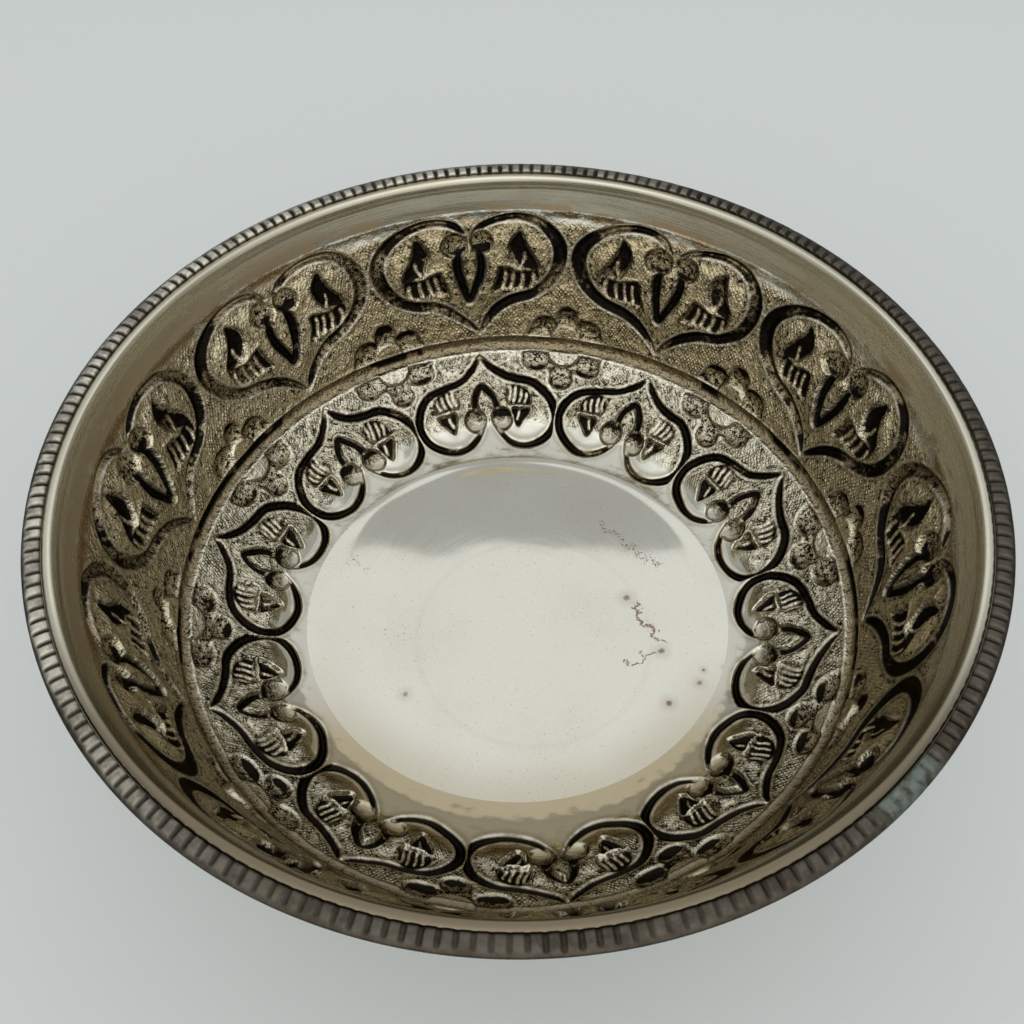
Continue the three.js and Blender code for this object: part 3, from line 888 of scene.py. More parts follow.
class Piecework:
    """What all sub-assemblies share: the way their finished pieces are dressed."""

    @staticmethod
    def dress(piece: bpy.types.Object, material: bpy.types.Material, node: str, slot: str) -> None:
        """Gives a piece its finish and puts it in the place of a CAD node.

        Args:
            piece: The piece.
            material: Its finish.
            node: The CAD node that it stands for.
            slot: Not used.
        """
        piece.data.materials.clear()
        piece.data.materials.append(material)
        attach(piece, BODY)
        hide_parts(node)
        triangles = sum(len(face.vertices) - 2 for face in piece.data.polygons)
        LOG.info("%s stands for %s with %d triangles", piece.name, node, triangles)


def lattice_faces(rows: int, columns: int, first: int, outward: bool) -> list[tuple[int, ...]]:
    """Quads of a lattice whose points are stored row by row.

    Args:
        rows: Number of rows of points.
        columns: Number of points in a row.
        first: Index of the lattice's first point.
        outward: True turns the faces over.

    Returns:
        The faces.
    """
    row, column = np.meshgrid(np.arange(rows - 1), np.arange(columns - 1), indexing="ij")
    corner = first + row * columns + column
    ring = [corner, corner + 1, corner + columns + 1, corner + columns]
    if outward:
        ring.reverse()
    return list(map(tuple, np.stack(ring, -1).reshape(-1, 4).tolist()))


def rim_of(rows: int, columns: int, first: int) -> list[int]:
    """Walks round the border of a lattice, along its first row and then on round it.

    Args:
        rows: Number of rows of points.
        columns: Number of points in a row.
        first: Index of the lattice's first point.

    Returns:
        The indices of the border's points.
    """
    grid = first + np.arange(rows * columns).reshape(rows, columns)
    border = [grid[0, :-1], grid[:-1, -1], grid[-1, :0:-1], grid[:0:-1, 0]]
    return np.concatenate(border).tolist()


def edge_faces(fine: list[int], coarse: list[int]) -> list[tuple[int, ...]]:
    """Closes a sheet along its edge.

    Args:
        fine: The border of the inner lattice.
        coarse: The border of the outer lattice, with half as many points.

    Returns:
        The faces between them.
    """
    faces = []
    for index, corner in enumerate(coarse):
        following = coarse[(index + 1) % len(coarse)]
        start, middle = fine[2 * index], fine[2 * index + 1]
        end = fine[(2 * index + 2) % len(fine)]
        faces.append((start, corner, middle))
        faces.append((middle, corner, following, end))
    return faces


@dataclass
class ChasedWall(Piecework):
    """The wall from the floor's edge to the top of the frieze, chased with twenty hearts."""

    sizes: BowlSizes
    columns: int = 196
    upper_rows: int = 142
    lower_rows: int = 110
    crease_round: float = 1.2
    crease_window: float = 5.0
    foot_window: float = 3.0
    round_reach: float = 12.0
    round_step: float = 0.1
    stretched_width: float = 14.0
    lower_heart_height: float = 38.3
    crease_lip: float = 0.15
    crease_lip_width: float = 0.16
    top_line: float = 0.08
    top_line_width: float = 0.45
    swell: float = 0.1
    sway: Pair = (0.45, 26.0)
    lift: Pair = (0.35, 30.0)
    back_softness: float = 1.5
    back_patina: float = 0.6
    seed: int = 7

    def assemble(self) -> None:
        """Builds the sectors and dresses them."""
        chased = ChasedFinish().make()
        for sector in self.build():
            self.dress(sector, chased, "bowl_shell", "chased_plate")

    def build(self) -> list[bpy.types.Object]:
        """Makes the wall in ten sectors, each of them a closed sheet.

        Returns:
            The sectors, from the one at the back on to the right as seen from inside.
        """
        self.lay_out()
        self.chase()
        inner = self.base + self.normal * self.height[..., None]
        outer = self.base + self.normal * (self.height[..., None] - self.sizes.sheet)
        self.inner, self.inner_normal = inner, self.normals(inner)
        self.outer, self.outer_normal = outer, -self.normals(outer)
        return [self.cut_sector(index) for index in range(SECTORS)]

    def lay_out(self) -> None:
        """Lays the plain wall out as a lattice of rows and columns."""
        lower = self.sizes.lower_wall()
        upper = self.sizes.upper_wall()
        section = np.concatenate([lower[:0:-1], upper])
        along = walk(section) - walk(lower)[-1]
        below = np.linspace(along[0], 0, self.lower_rows + 1)
        above = np.linspace(0, along[-1], self.upper_rows + 1)
        self.along = np.concatenate([below, above[1:]])
        fine = np.arange(-self.round_reach, self.round_reach + self.round_step / 10, self.round_step)
        kernel = np.exp(-((fine / self.crease_round) ** 2))
        kernel /= kernel.sum()
        radius = np.interp(self.along, along, section[:, 0])
        height = np.interp(self.along, along, section[:, 1])
        foot = along[0] + self.sizes.cove_width
        by_crease = np.abs(self.along) < self.crease_window
        by_foot = np.abs(self.along - foot) < self.foot_window
        for index in np.flatnonzero(by_crease | by_foot):
            beside = self.along[index] + fine
            radius[index] = (kernel * np.interp(beside, along, section[:, 0])).sum()
            height[index] = (kernel * np.interp(beside, along, section[:, 1])).sum()
        count = SECTORS * self.columns
        self.turn = FIRST_TIP_ANGLE + SECTOR_ANGLE / 2 - np.arange(count + 1) * FULL_TURN / count
        shift = self.sizes.disc_stretch * np.cos(2 * self.turn)
        low = 1 - fade(self.along, along[0], along[0] + self.stretched_width)
        radius = radius[:, None] + shift[None, :] * low[:, None]
        self.base = np.stack([
            radius * np.cos(self.turn),
            radius * np.sin(self.turn),
            np.broadcast_to(height[:, None], radius.shape) + self.sizes.floor_z,
        ], -1)
        self.normal = self.normals(self.base)
        foot_radius = self.sizes.floor_radius + self.sizes.heart_gap - shift
        foot_radius -= self.sizes.heart_stretch * np.cos(2 * self.turn)
        foot_radius -= self.sizes.heart_shift * np.sin(self.turn)
        on_wall = slice(0, self.lower_rows + 1)
        nominal = np.interp(self.along[on_wall], along, section[:, 0])
        self.heart_foot = -np.interp(foot_radius, nominal, self.along[on_wall])

    def normals(self, lattice: np.ndarray) -> np.ndarray:
        """Works out the normals of a lattice.

        Args:
            lattice: Its points, whose last column is its first one again.

        Returns:
            A normal for each point, towards the inside of the bowl.
        """
        across = np.empty_like(lattice)
        across[:, 1:-1] = lattice[:, 2:] - lattice[:, :-2]
        across[:, 0] = across[:, -1] = lattice[:, 1] - lattice[:, -2]
        up = np.gradient(lattice, axis=0)
        normal = np.cross(across, up)
        return normal / np.linalg.norm(normal, axis=-1, keepdims=True)

    def chase(self) -> None:
        """Works out the relief and its finish for the whole wall."""
        shape = self.base.shape[:2]
        self.height, self.patina, self.burnish_and_highlight, self.hatch, self.plain = np.zeros((5, *shape))
        for sector in range(SECTORS):
            columns = slice(sector * self.columns, (sector + 1) * self.columns + 1)
            self.chase_sector(sector, columns, UPPER_HEART, slice(self.lower_rows, shape[0]))
            self.chase_sector(sector, columns, LOWER_HEART, slice(0, self.lower_rows))
        self.height = softened(self.height)
        self.patina = softened(self.patina)
        self.burnish_and_highlight = softened(self.burnish_and_highlight)
        along = self.along[:, None]
        band = np.abs(along) / self.sizes.crease_half_width
        beside = fade(band, 0.85, 1.1)
        self.height *= beside
        self.patina *= beside
        self.burnish_and_highlight *= beside
        self.hatch *= fade(band, 1.1, 1.5)
        self.height -= self.sizes.crease_depth * np.clip(1 - band**2, 0, 1) ** 0.8
        lip = line_glow(band - 1.0, self.crease_lip_width)
        self.height += self.crease_lip * lip
        # Painted highlight along the lip of the crease.
        self.burnish_and_highlight = np.maximum(self.burnish_and_highlight, lip)
        self.crease = np.broadcast_to(1 - fade(band, 0.85, 1.05), shape)
        top = self.along[-1] - along
        flat = self.base[..., 0], self.base[..., 1]
        uneven = waves(*flat, 16, self.seed) + 0.35 * waves(*flat, 5, self.seed + 1)
        loose = fade(top, 0.0, 2.0) * fade(along - self.along[0], 0.0, 4.0)
        self.height += self.swell * uneven * loose
        # Painted highlight along the top line of the frieze.
        self.burnish_and_highlight = np.maximum(self.burnish_and_highlight, 0.4 * line_glow(top - 0.5, self.top_line_width))
        self.height += self.top_line * line_glow(top - 0.7, self.top_line_width)

    def chase_sector(self, sector: int, columns: slice, motif: Motif, rows: slice) -> None:
        """Chases one heart of a frieze into its part of the lattice.

        Args:
            sector: The heart's number.
            columns: The sector's columns.
            motif: What is chased.
            rows: The frieze's rows.
        """
        mean = FIRST_TIP_ANGLE - sector * SECTOR_ANGLE
        off = np.broadcast_to(mean - self.turn[columns], self.height[rows, columns].shape)
        along = np.broadcast_to(self.along[rows, None], off.shape)
        upper = motif is UPPER_HEART
        x = off * motif.reference_radius
        v = along if upper else -along * self.lower_heart_height / self.heart_foot[None, columns]
        seed = self.seed + 20 + 2 * sector + upper
        free = np.sqrt(np.clip(np.cos(off / SECTOR_ANGLE * math.pi), 0, 1))
        sway = self.sway[0] * free * waves(x, v, self.sway[1], seed)
        lift = self.lift[0] * free * waves(x, v, self.lift[1], seed + 50)
        relief = Relief((x + sway).ravel(), (v + lift).ravel())
        motif.chase(relief)
        shape = off.shape
        plain = fade(v, *motif.plain_edge)
        self.height[rows, columns] = relief.height.reshape(shape)
        self.patina[rows, columns] = relief.patina.reshape(shape)
        self.burnish_and_highlight[rows, columns] = relief.burnish_and_highlight.reshape(shape)
        self.hatch[rows, columns] = relief.hatch.reshape(shape) * (1 - plain)
        self.plain[rows, columns] = plain

    def cut_sector(self, index: int) -> bpy.types.Object:
        """Makes one sector of the wall as a closed sheet with its own finish layers.

        Args:
            index: The sector's number, from 0.

        Returns:
            The sector.
        """
        fine = (slice(None), slice(index * self.columns, (index + 1) * self.columns + 1))
        coarse = (slice(None, None, 2), slice(fine[1].start, fine[1].stop, 2))
        rows, columns = self.inner[fine].shape[:2]
        back_rows, back_columns = self.outer[coarse].shape[:2]
        first = rows * columns
        faces = lattice_faces(rows, columns, 0, False)
        faces += lattice_faces(back_rows, back_columns, first, True)
        faces += edge_faces(rim_of(rows, columns, 0), rim_of(back_rows, back_columns, first))
        places = np.concatenate([self.inner[fine].reshape(-1, 3), self.outer[coarse].reshape(-1, 3)])
        normals = (self.inner_normal[fine].reshape(-1, 3), self.outer_normal[coarse].reshape(-1, 3))
        name = f"chased_wall_{index + 1:02d}"
        mesh = bpy.data.meshes.new(name)
        mesh.from_pydata((places * MM).tolist(), [], faces)
        mesh.shade_smooth()
        mesh.normals_split_custom_set_from_vertices(np.concatenate(normals).tolist())
        piece = bpy.data.objects.new(name, mesh)
        bpy.context.collection.objects.link(piece)
        self.write_layers(piece, index, fine, coarse)
        return piece

    def write_layers(self, piece: bpy.types.Object, index: int, fine: tuple, coarse: tuple) -> None:
        """Stores the layers that the chased finish reads.

        Args:
            piece: The sector.
            index: Its number.
            fine: Its part of the lattice, for the face inside the bowl.
            coarse: Every second row and column of it, for the face outside.
        """
        raised = np.clip(-self.height / self.back_softness, 0, 1)
        layers = {
            "patina": (self.patina, self.back_patina * self.hatch * (1 - raised)),
            # Burnished lines with a painted highlight inside, and a painted highlight on the raised bumps
            # outside.
            "burnish_and_highlight": (self.burnish_and_highlight, raised),
            "crease": (self.crease, np.zeros_like(self.crease)),
            "plain": (self.plain, np.ones_like(self.plain)),
        }
        for name, (inside, outside) in layers.items():
            values = np.concatenate([inside[fine].ravel(), outside[coarse].ravel()])
            MeshWork.write(piece, name, values)
        sheet = np.zeros(self.height.shape + (3,))
        middle = FIRST_TIP_ANGLE - index * SECTOR_ANGLE
        sheet[..., 0] = (middle - self.turn) * UPPER_HEART.reference_radius
        sheet[..., 1] = self.along[:, None]
        sheet[..., 2] = self.hatch
        values = np.concatenate([sheet[fine].reshape(-1, 3), sheet[coarse].reshape(-1, 3)])
        MeshWork.write(piece, "sheet", values)


@dataclass
class FloorDisc(Piecework):
    """The bright flat floor of the bowl, with the slight waves of sheet that was planished."""

    sizes: BowlSizes
    rings: int = 56
    steps: int = 720
    under_rings: int = 14
    dish: float = 0.16
    dish_end: float = 0.93
    waves_end: float = 0.9
    long_wave: Pair = (0.035, 46.0)
    short_wave: Pair = (0.002, 13.0)
    seed: int = 3

    def assemble(self) -> None:
        """Builds the disc and dresses it."""
        self.dress(self.build(), DiscFinish().make(), "bowl_shell", "chased_plate")

    def build(self) -> bpy.types.Object:
        """Turns the disc and gives its upper face its waves."""
        edge = self.sizes.floor_radius
        upper = [(radius, 0.0) for radius in np.linspace(0, edge, self.rings)]
        lower = [(radius, -self.sizes.sheet) for radius in np.linspace(edge, 0, self.under_rings)]
        disc = MeshWork.turn("floor_disc", np.array(upper + lower), self.steps, hollow=False)
        places = MeshWork.places(disc)
        radius = np.hypot(places[:, 0], places[:, 1])
        turn = np.arctan2(places[:, 1], places[:, 0])
        share = radius / edge
        stretch = 1 + self.sizes.disc_stretch / edge * np.cos(2 * turn) * share**3
        places[:, :2] *= stretch[:, None]
        flat = places[:, 0], places[:, 1]
        wave = self.long_wave[0] * waves(*flat, self.long_wave[1], self.seed)
        wave += self.short_wave[0] * waves(*flat, self.short_wave[1], self.seed + 1)
        on_top = places[:, 2] > -0.5 * self.sizes.sheet
        dish = np.where(on_top, self.dish * (1 - fade(share, self.dish_end, 1.0)), 0)
        places[:, 2] += self.sizes.floor_z + wave * (1 - fade(share, self.waves_end, 1.0)) - dish
        MeshWork.put(disc, places)
        MeshWork.smooth(disc, 40)
        return disc


@dataclass
class PlainBand(Piecework):
    """The plain top of the wall, the rolled lip and the flange under the border strip."""

    sizes: BowlSizes
    lip_width: float = 1.35
    lip_rise: float = 3.7
    shoulder: float = 2.15
    shoulder_drop: float = 0.9
    flange_end: float = 125.9
    uneven: float = 0.0006
    uneven_pitch: float = 60.0
    even_above: Pair = (76.0, 77.0)
    steps: int = 720
    seed: int = 9

    def assemble(self) -> None:
        """Builds the band and dresses it."""
        foot_z = (self.sizes.floor_z + self.sizes.upper_wall()[-1][1]) * MM
        self.dress(self.build(), BandFinish().make(foot_z), "bowl_shell", "chased_plate")

    def section(self) -> np.ndarray:
        """The band's closed section."""
        sizes = self.sizes
        start = sizes.upper_wall()[-1]
        roll = np.array([sizes.roll_radius, sizes.roll_rise])
        lip = (roll[0] + self.lip_width, roll[1] + self.lip_rise)
        wall = [tuple(start + (roll - start) * share) for share in np.linspace(0, 1, 12)]
        curl = quarter_round(tuple(roll), lip, False, 10)
        shoulder = (lip[0] + self.shoulder, lip[1] - self.shoulder_drop)
        fall = quarter_round(lip, shoulder, True, 5)
        inner = np.array(wall + curl[1:] + fall[1:] + [(self.flange_end, shoulder[1])])
        outer = offset_line(inner, sizes.sheet)
        return np.concatenate([inner, outer[::-1]])

    def build(self) -> bpy.types.Object:
        """Turns the band and makes its wall and lip slightly uneven."""
        section = self.section()
        section[:, 1] += self.sizes.floor_z
        band = MeshWork.turn("plain_band_and_lip", section, self.steps)
        places = MeshWork.places(band)
        flat = places[:, 0], places[:, 1]
        rise = places[:, 2] - self.sizes.floor_z
        start = self.sizes.upper_wall()[-1][1]
        loose = fade(rise, start, start + 3) * (1 - fade(rise, *self.even_above))
        swell = self.uneven * waves(*flat, self.uneven_pitch, self.seed)
        places[:, :2] *= 1 + (swell * loose)[:, None]
        MeshWork.put(band, places)
        MeshWork.smooth(band, 50)
        return band


@dataclass
class MilledStrip(Piecework):
    """A half-round strip bent into a hoop, milled into ribs along one edge.

    Each pair holds how strong a change along the strip is, and its pitch in millimetres.
    """

    name: str
    node: str
    finish: str
    plain_radius: float
    milled_radius: float
    seat_z: float
    ribs: int
    thickness: float = 1.5
    groove_depth: float = 0.8
    groove_reach: float = 3.0
    groove_half: float = 0.50
    steps_per_rib: int = 12
    longest_step: float = 0.45
    slip: Pair = (0.04, 40.0)
    ragged: Pair = (0.08, 14.0)
    wear: Pair = (0.22, 30.0)
    dents: Pair = (0.05, 7.0)
    seed: int = 21
    joint_turn: float | None = None

    def assemble(self) -> None:
        """Builds the strip and dresses it."""
        joint = None
        if self.joint_turn is not None:
            joint = (JOINT_RADIUS * math.cos(self.joint_turn), JOINT_RADIUS * math.sin(self.joint_turn))
        self.dress(self.build(), MilledFinish(joint=joint).make(self.finish), self.node, "milled_plate")

    def section(self) -> np.ndarray:
        """The strip's closed section, from its seat over the crown and back."""
        width = abs(self.plain_radius - self.milled_radius)
        top = self.thickness
        outline = (
            (0.0, 0.0), (0.0, top - 0.25), (0.16 * width, top), (0.52 * width, top),
            (0.78 * width, 0.8 * top), (width, 0.42 * top), (width, 0.0),
        )
        curve = rounded(outline, (0, 0.34, 0.5, 0.9, 0.8, 0.45, 0), 4)
        fine = []
        for start, end in zip(curve, np.roll(curve, -1, 0)):
            above_seat = end[1] > 0 and start[1] > 0
            length = float(np.hypot(*(end - start)))
            count = max(1, round(length / self.longest_step)) if above_seat else 1
            fine += [start + (end - start) * share / count for share in range(count)]
        fine = np.array(fine)
        side = math.copysign(1.0, self.plain_radius - self.milled_radius)
        fine[:, 0] = self.milled_radius + side * fine[:, 0]
        return fine

    def build(self) -> bpy.types.Object:
        """Turns the strip and mills its grooves."""
        section = self.section()
        strip = MeshWork.turn(self.name, section, self.ribs * self.steps_per_rib)
        places = MeshWork.places(strip)
        radius = np.hypot(places[:, 0], places[:, 1])
        turn = np.arctan2(places[:, 1], places[:, 0])
        flat = places[:, 0], places[:, 1]
        pitch = FULL_TURN / self.ribs
        side = math.copysign(1.0, self.plain_radius - self.milled_radius)
        slip = self.slip[0] * waves(*flat, self.slip[1], self.seed)
        from_groove = ((turn / pitch + slip) % 1 - 0.5) * pitch * radius
        reach = self.groove_reach * (1 + self.ragged[0] * waves(*flat, self.ragged[1], self.seed + 1))
        beyond = np.maximum(0, side * (radius - self.milled_radius) - reach)
        off = np.hypot(from_groove, beyond)
        groove = 1 - fade(off, 0.12, self.groove_half * 1.9)
        wear = 1 - self.wear[0] + self.wear[0] * waves(*flat, self.wear[1], self.seed + 2)
        if self.joint_turn is not None:
            wear *= 0.6 + 0.4 * fade(places[:, 1], -110, -60)
            away = np.abs((turn - self.joint_turn + math.pi) % FULL_TURN - math.pi) * radius
            wear *= 0.15 + 0.85 * fade(away, 4, 16)
        height = places[:, 2]
        upper = fade(height, 0.1, 0.6)
        cut = self.groove_depth * groove * np.clip(wear, 0, 1.1) * upper
        places[:, 2] = height - np.minimum(cut, np.maximum(0, height - 0.05))
        dent = self.dents[0] * waves(*flat, self.dents[1], self.seed + 3) * upper
        places[:, 2] += np.minimum(0, dent) + self.seat_z
        MeshWork.put(strip, places)
        from_edge = side * (radius - self.milled_radius)
        crest = (1 - groove) * (1 - fade(from_edge, reach, reach + 1.2)) * upper
        MeshWork.write(strip, "crest", crest)
        MeshWork.write(strip, "groove", groove * upper * np.clip(wear, 0, 1))
        MeshWork.smooth(strip, 50)
        return strip


@dataclass
class PedestalPart:
    """A turned piece of the pedestal: its closed section and the rounds of its corners."""

    name: str
    corners: Points
    rounds: tuple[float, ...]
    steps: int = 360

    def build(self) -> bpy.types.Object:
        """Turns the piece."""
        section = rounded(self.corners, self.rounds)
        piece = MeshWork.turn(self.name, section, self.steps)
        MeshWork.smooth(piece, 35)
        return piece


@dataclass(frozen=True)
class Pedestal(Piecework):
    """The pedestal's sizes in millimetres, from the table up."""

    foot_radius: float
    foot_seat: float
    knop_seat: float
    stem_seat: float
    collar_seat: float
    bowl_seat: float
    collar_radius: float = 35.0
    collar_bore: float = 25.0
    collar_lip_width: float = 1.7
    collar_lip_depth: float = 1.2
    waist_radius: float = 17.5
    waist_rise: float = 4.0
    stem_wall: float = 1.4
    stem_base_radius: float = 21.0
    stem_base_height: float = 1.0
    stem_base_ledge: float = 0.4
    spigot_radius: float = 15.5
    spigot_length: float = 8.5
    flange_width: float = 6.0
    knop_radius: float = 26.0
    knop_round: float = 3.4
    neck_radius: float = 23.0
    foot_sheet: float = 1.2
    foot_flange: float = 7.0
    foot_step: float = 3.2
    shoulder_width: float = 8.0
    shoulder_rise: float = 2.8
    wire_width: float = 4.0
    wire_inset: float = 0.4
    clearance: float = 0.3

    def assemble(self) -> None:
        """Builds the turned pieces from the collar down and dresses them."""
        turned = TurnedFinish().make()
        parts = (
            (self.collar(), "pedestal_collar"), (self.stem(), "pedestal_stem"), (self.knop(), "stem_knop"),
            (self.foot(), "pedestal_foot"), (self.base_wire(), "foot_base_wire"),
        )
        for part, node in parts:
            self.dress(part.build(), turned, node, "polished_plate")

    def collar(self) -> PedestalPart:
        """The collar that is soldered under the floor."""
        low = self.collar_seat - self.collar_lip_depth
        lip = self.collar_radius - self.collar_lip_width
        corners = (
            (self.collar_bore, self.collar_seat), (lip, self.collar_seat), (lip, low),
            (self.collar_radius, low), (self.collar_radius, self.bowl_seat),
            (self.collar_bore, self.bowl_seat),
        )
        return PedestalPart("turned_collar", corners, (0.2, 0, 0.3, 0.8, 0.8, 0.2))

    def stem(self) -> PedestalPart:
        """The hollow stem, from its spigot to the flange inside the collar."""
        flange = self.collar_radius - self.collar_lip_width - self.clearance
        root = flange - self.flange_width
        bore = self.spigot_radius - self.stem_wall
        under = self.collar_seat - self.collar_lip_depth
        waist_z = self.stem_seat + self.waist_rise
        spigot_end = self.stem_seat - self.spigot_length
        base_top = self.stem_seat + self.stem_base_height
        base = [
            (bore, spigot_end), (self.spigot_radius, spigot_end), (self.spigot_radius, self.stem_seat),
            (self.stem_base_radius, self.stem_seat), (self.stem_base_radius, base_top),
        ]
        sweep_start = (self.stem_base_radius - self.stem_base_ledge, base_top)
        sweep = quarter_round(sweep_start, (self.waist_radius, waist_z), True)[1:]
        flare = quarter_round((self.waist_radius, waist_z), (root, under), False)[1:]
        head = [(flange, under), (flange, self.collar_seat)]
        inside = quarter_round((bore, waist_z), (root - self.stem_wall, self.collar_seat), False)[::-1]
        corners = tuple(base + sweep + flare + head + inside)
        rounds = [0.2, 0.2, 0.0, 0.35, 0.35]
        rounds += [0.0] * (len(corners) - len(rounds))
        return PedestalPart("turned_stem", corners, tuple(rounds))

    def knop(self) -> PedestalPart:
        """The knop between the stem and the foot."""
        hole = self.spigot_radius + self.clearance
        middle = (self.knop_seat + self.stem_seat) / 2
        flat = self.knop_radius - self.knop_round
        lower = quarter_round((flat, self.knop_seat), (self.knop_radius, middle), True)
        upper = quarter_round((self.knop_radius, middle), (flat, self.stem_seat), False)[1:]
        corners = tuple([(hole, self.knop_seat)] + lower + upper + [(hole, self.stem_seat)])
        return PedestalPart("turned_knop", corners, tuple([0.2] + [0.0] * (len(corners) - 2) + [0.2]))

    def foot(self) -> PedestalPart:
        """The spun foot with its step, shoulder and flared neck."""
        hole = self.spigot_radius + self.clearance
        top = self.foot_seat + self.foot_sheet
        step = self.foot_radius - self.foot_flange
        step_top = (step, top + self.foot_step)
        shoulder = (step - self.shoulder_width, step_top[1] + self.shoulder_rise)
        neck = (self.neck_radius, self.knop_seat - 1.0)
        sweep = quarter_round(neck, shoulder, False, 24)
        roll = quarter_round(shoulder, step_top, True, 12)[1:]
        start = [(hole, self.knop_seat), (self.neck_radius - 1.0, self.knop_seat)]
        upper = np.array(start + sweep + roll + [(step, top), (self.foot_radius, top)])
        lower = offset_line(upper, self.foot_sheet)
        corners = np.concatenate([upper, lower[::-1]])
        rounds = [0.0] * len(corners)
        rounds[len(upper) - 1] = 0.4
        rounds[len(upper)] = 0.4
        return PedestalPart("spun_foot", tuple(map(tuple, corners.tolist())), tuple(rounds))

    def base_wire(self) -> PedestalPart:
        """The wire that the bowl stands on."""
        outer = self.foot_radius - self.wire_inset
        inner = outer - self.wire_width
        corners = ((inner, 0.0), (outer, 0.0), (outer, self.foot_seat), (inner, self.foot_seat))
        return PedestalPart("foot_ring_wire", corners, (1.0, 1.2, 0.3, 0.3))


Socket = bpy.types.NodeSocket


class Signal:
    """A number or a vector that a material's nodes pass on; arithmetic on it adds nodes."""

    def __init__(self, bench: "Bench", socket: Socket) -> None:
        """Keeps the socket, and the bench that its nodes are added on."""
        self.bench = bench
        self.socket = socket

    def __add__(self, other: "Signal | float") -> "Signal":
        """The sum."""
        return self.bench.number("ADD", self, other)

    def __sub__(self, other: "Signal | float") -> "Signal":
        """The difference."""
        return self.bench.number("SUBTRACT", self, other)

    def __rsub__(self, other: float) -> "Signal":
        """What is left of a plain number without the signal."""
        return self.bench.number("SUBTRACT", other, self)

    def __mul__(self, other: "Signal | float") -> "Signal":
        """The product."""
        return self.bench.number("MULTIPLY", self, other)

    def __abs__(self) -> "Signal":
        """The size without its sign."""
        return self.bench.number("ABSOLUTE", self)

    def fade(self, start: float, end: float, low: float = 0.0, high: float = 1.0) -> "Signal":
        """Goes smoothly from low at start to high at end."""
        given = {"Value": self, "From Min": start, "From Max": end, "To Min": low, "To Max": high}
        node = self.bench.add("ShaderNodeMapRange", given, interpolation_type="SMOOTHSTEP")
        return Signal(self.bench, node.outputs[0])


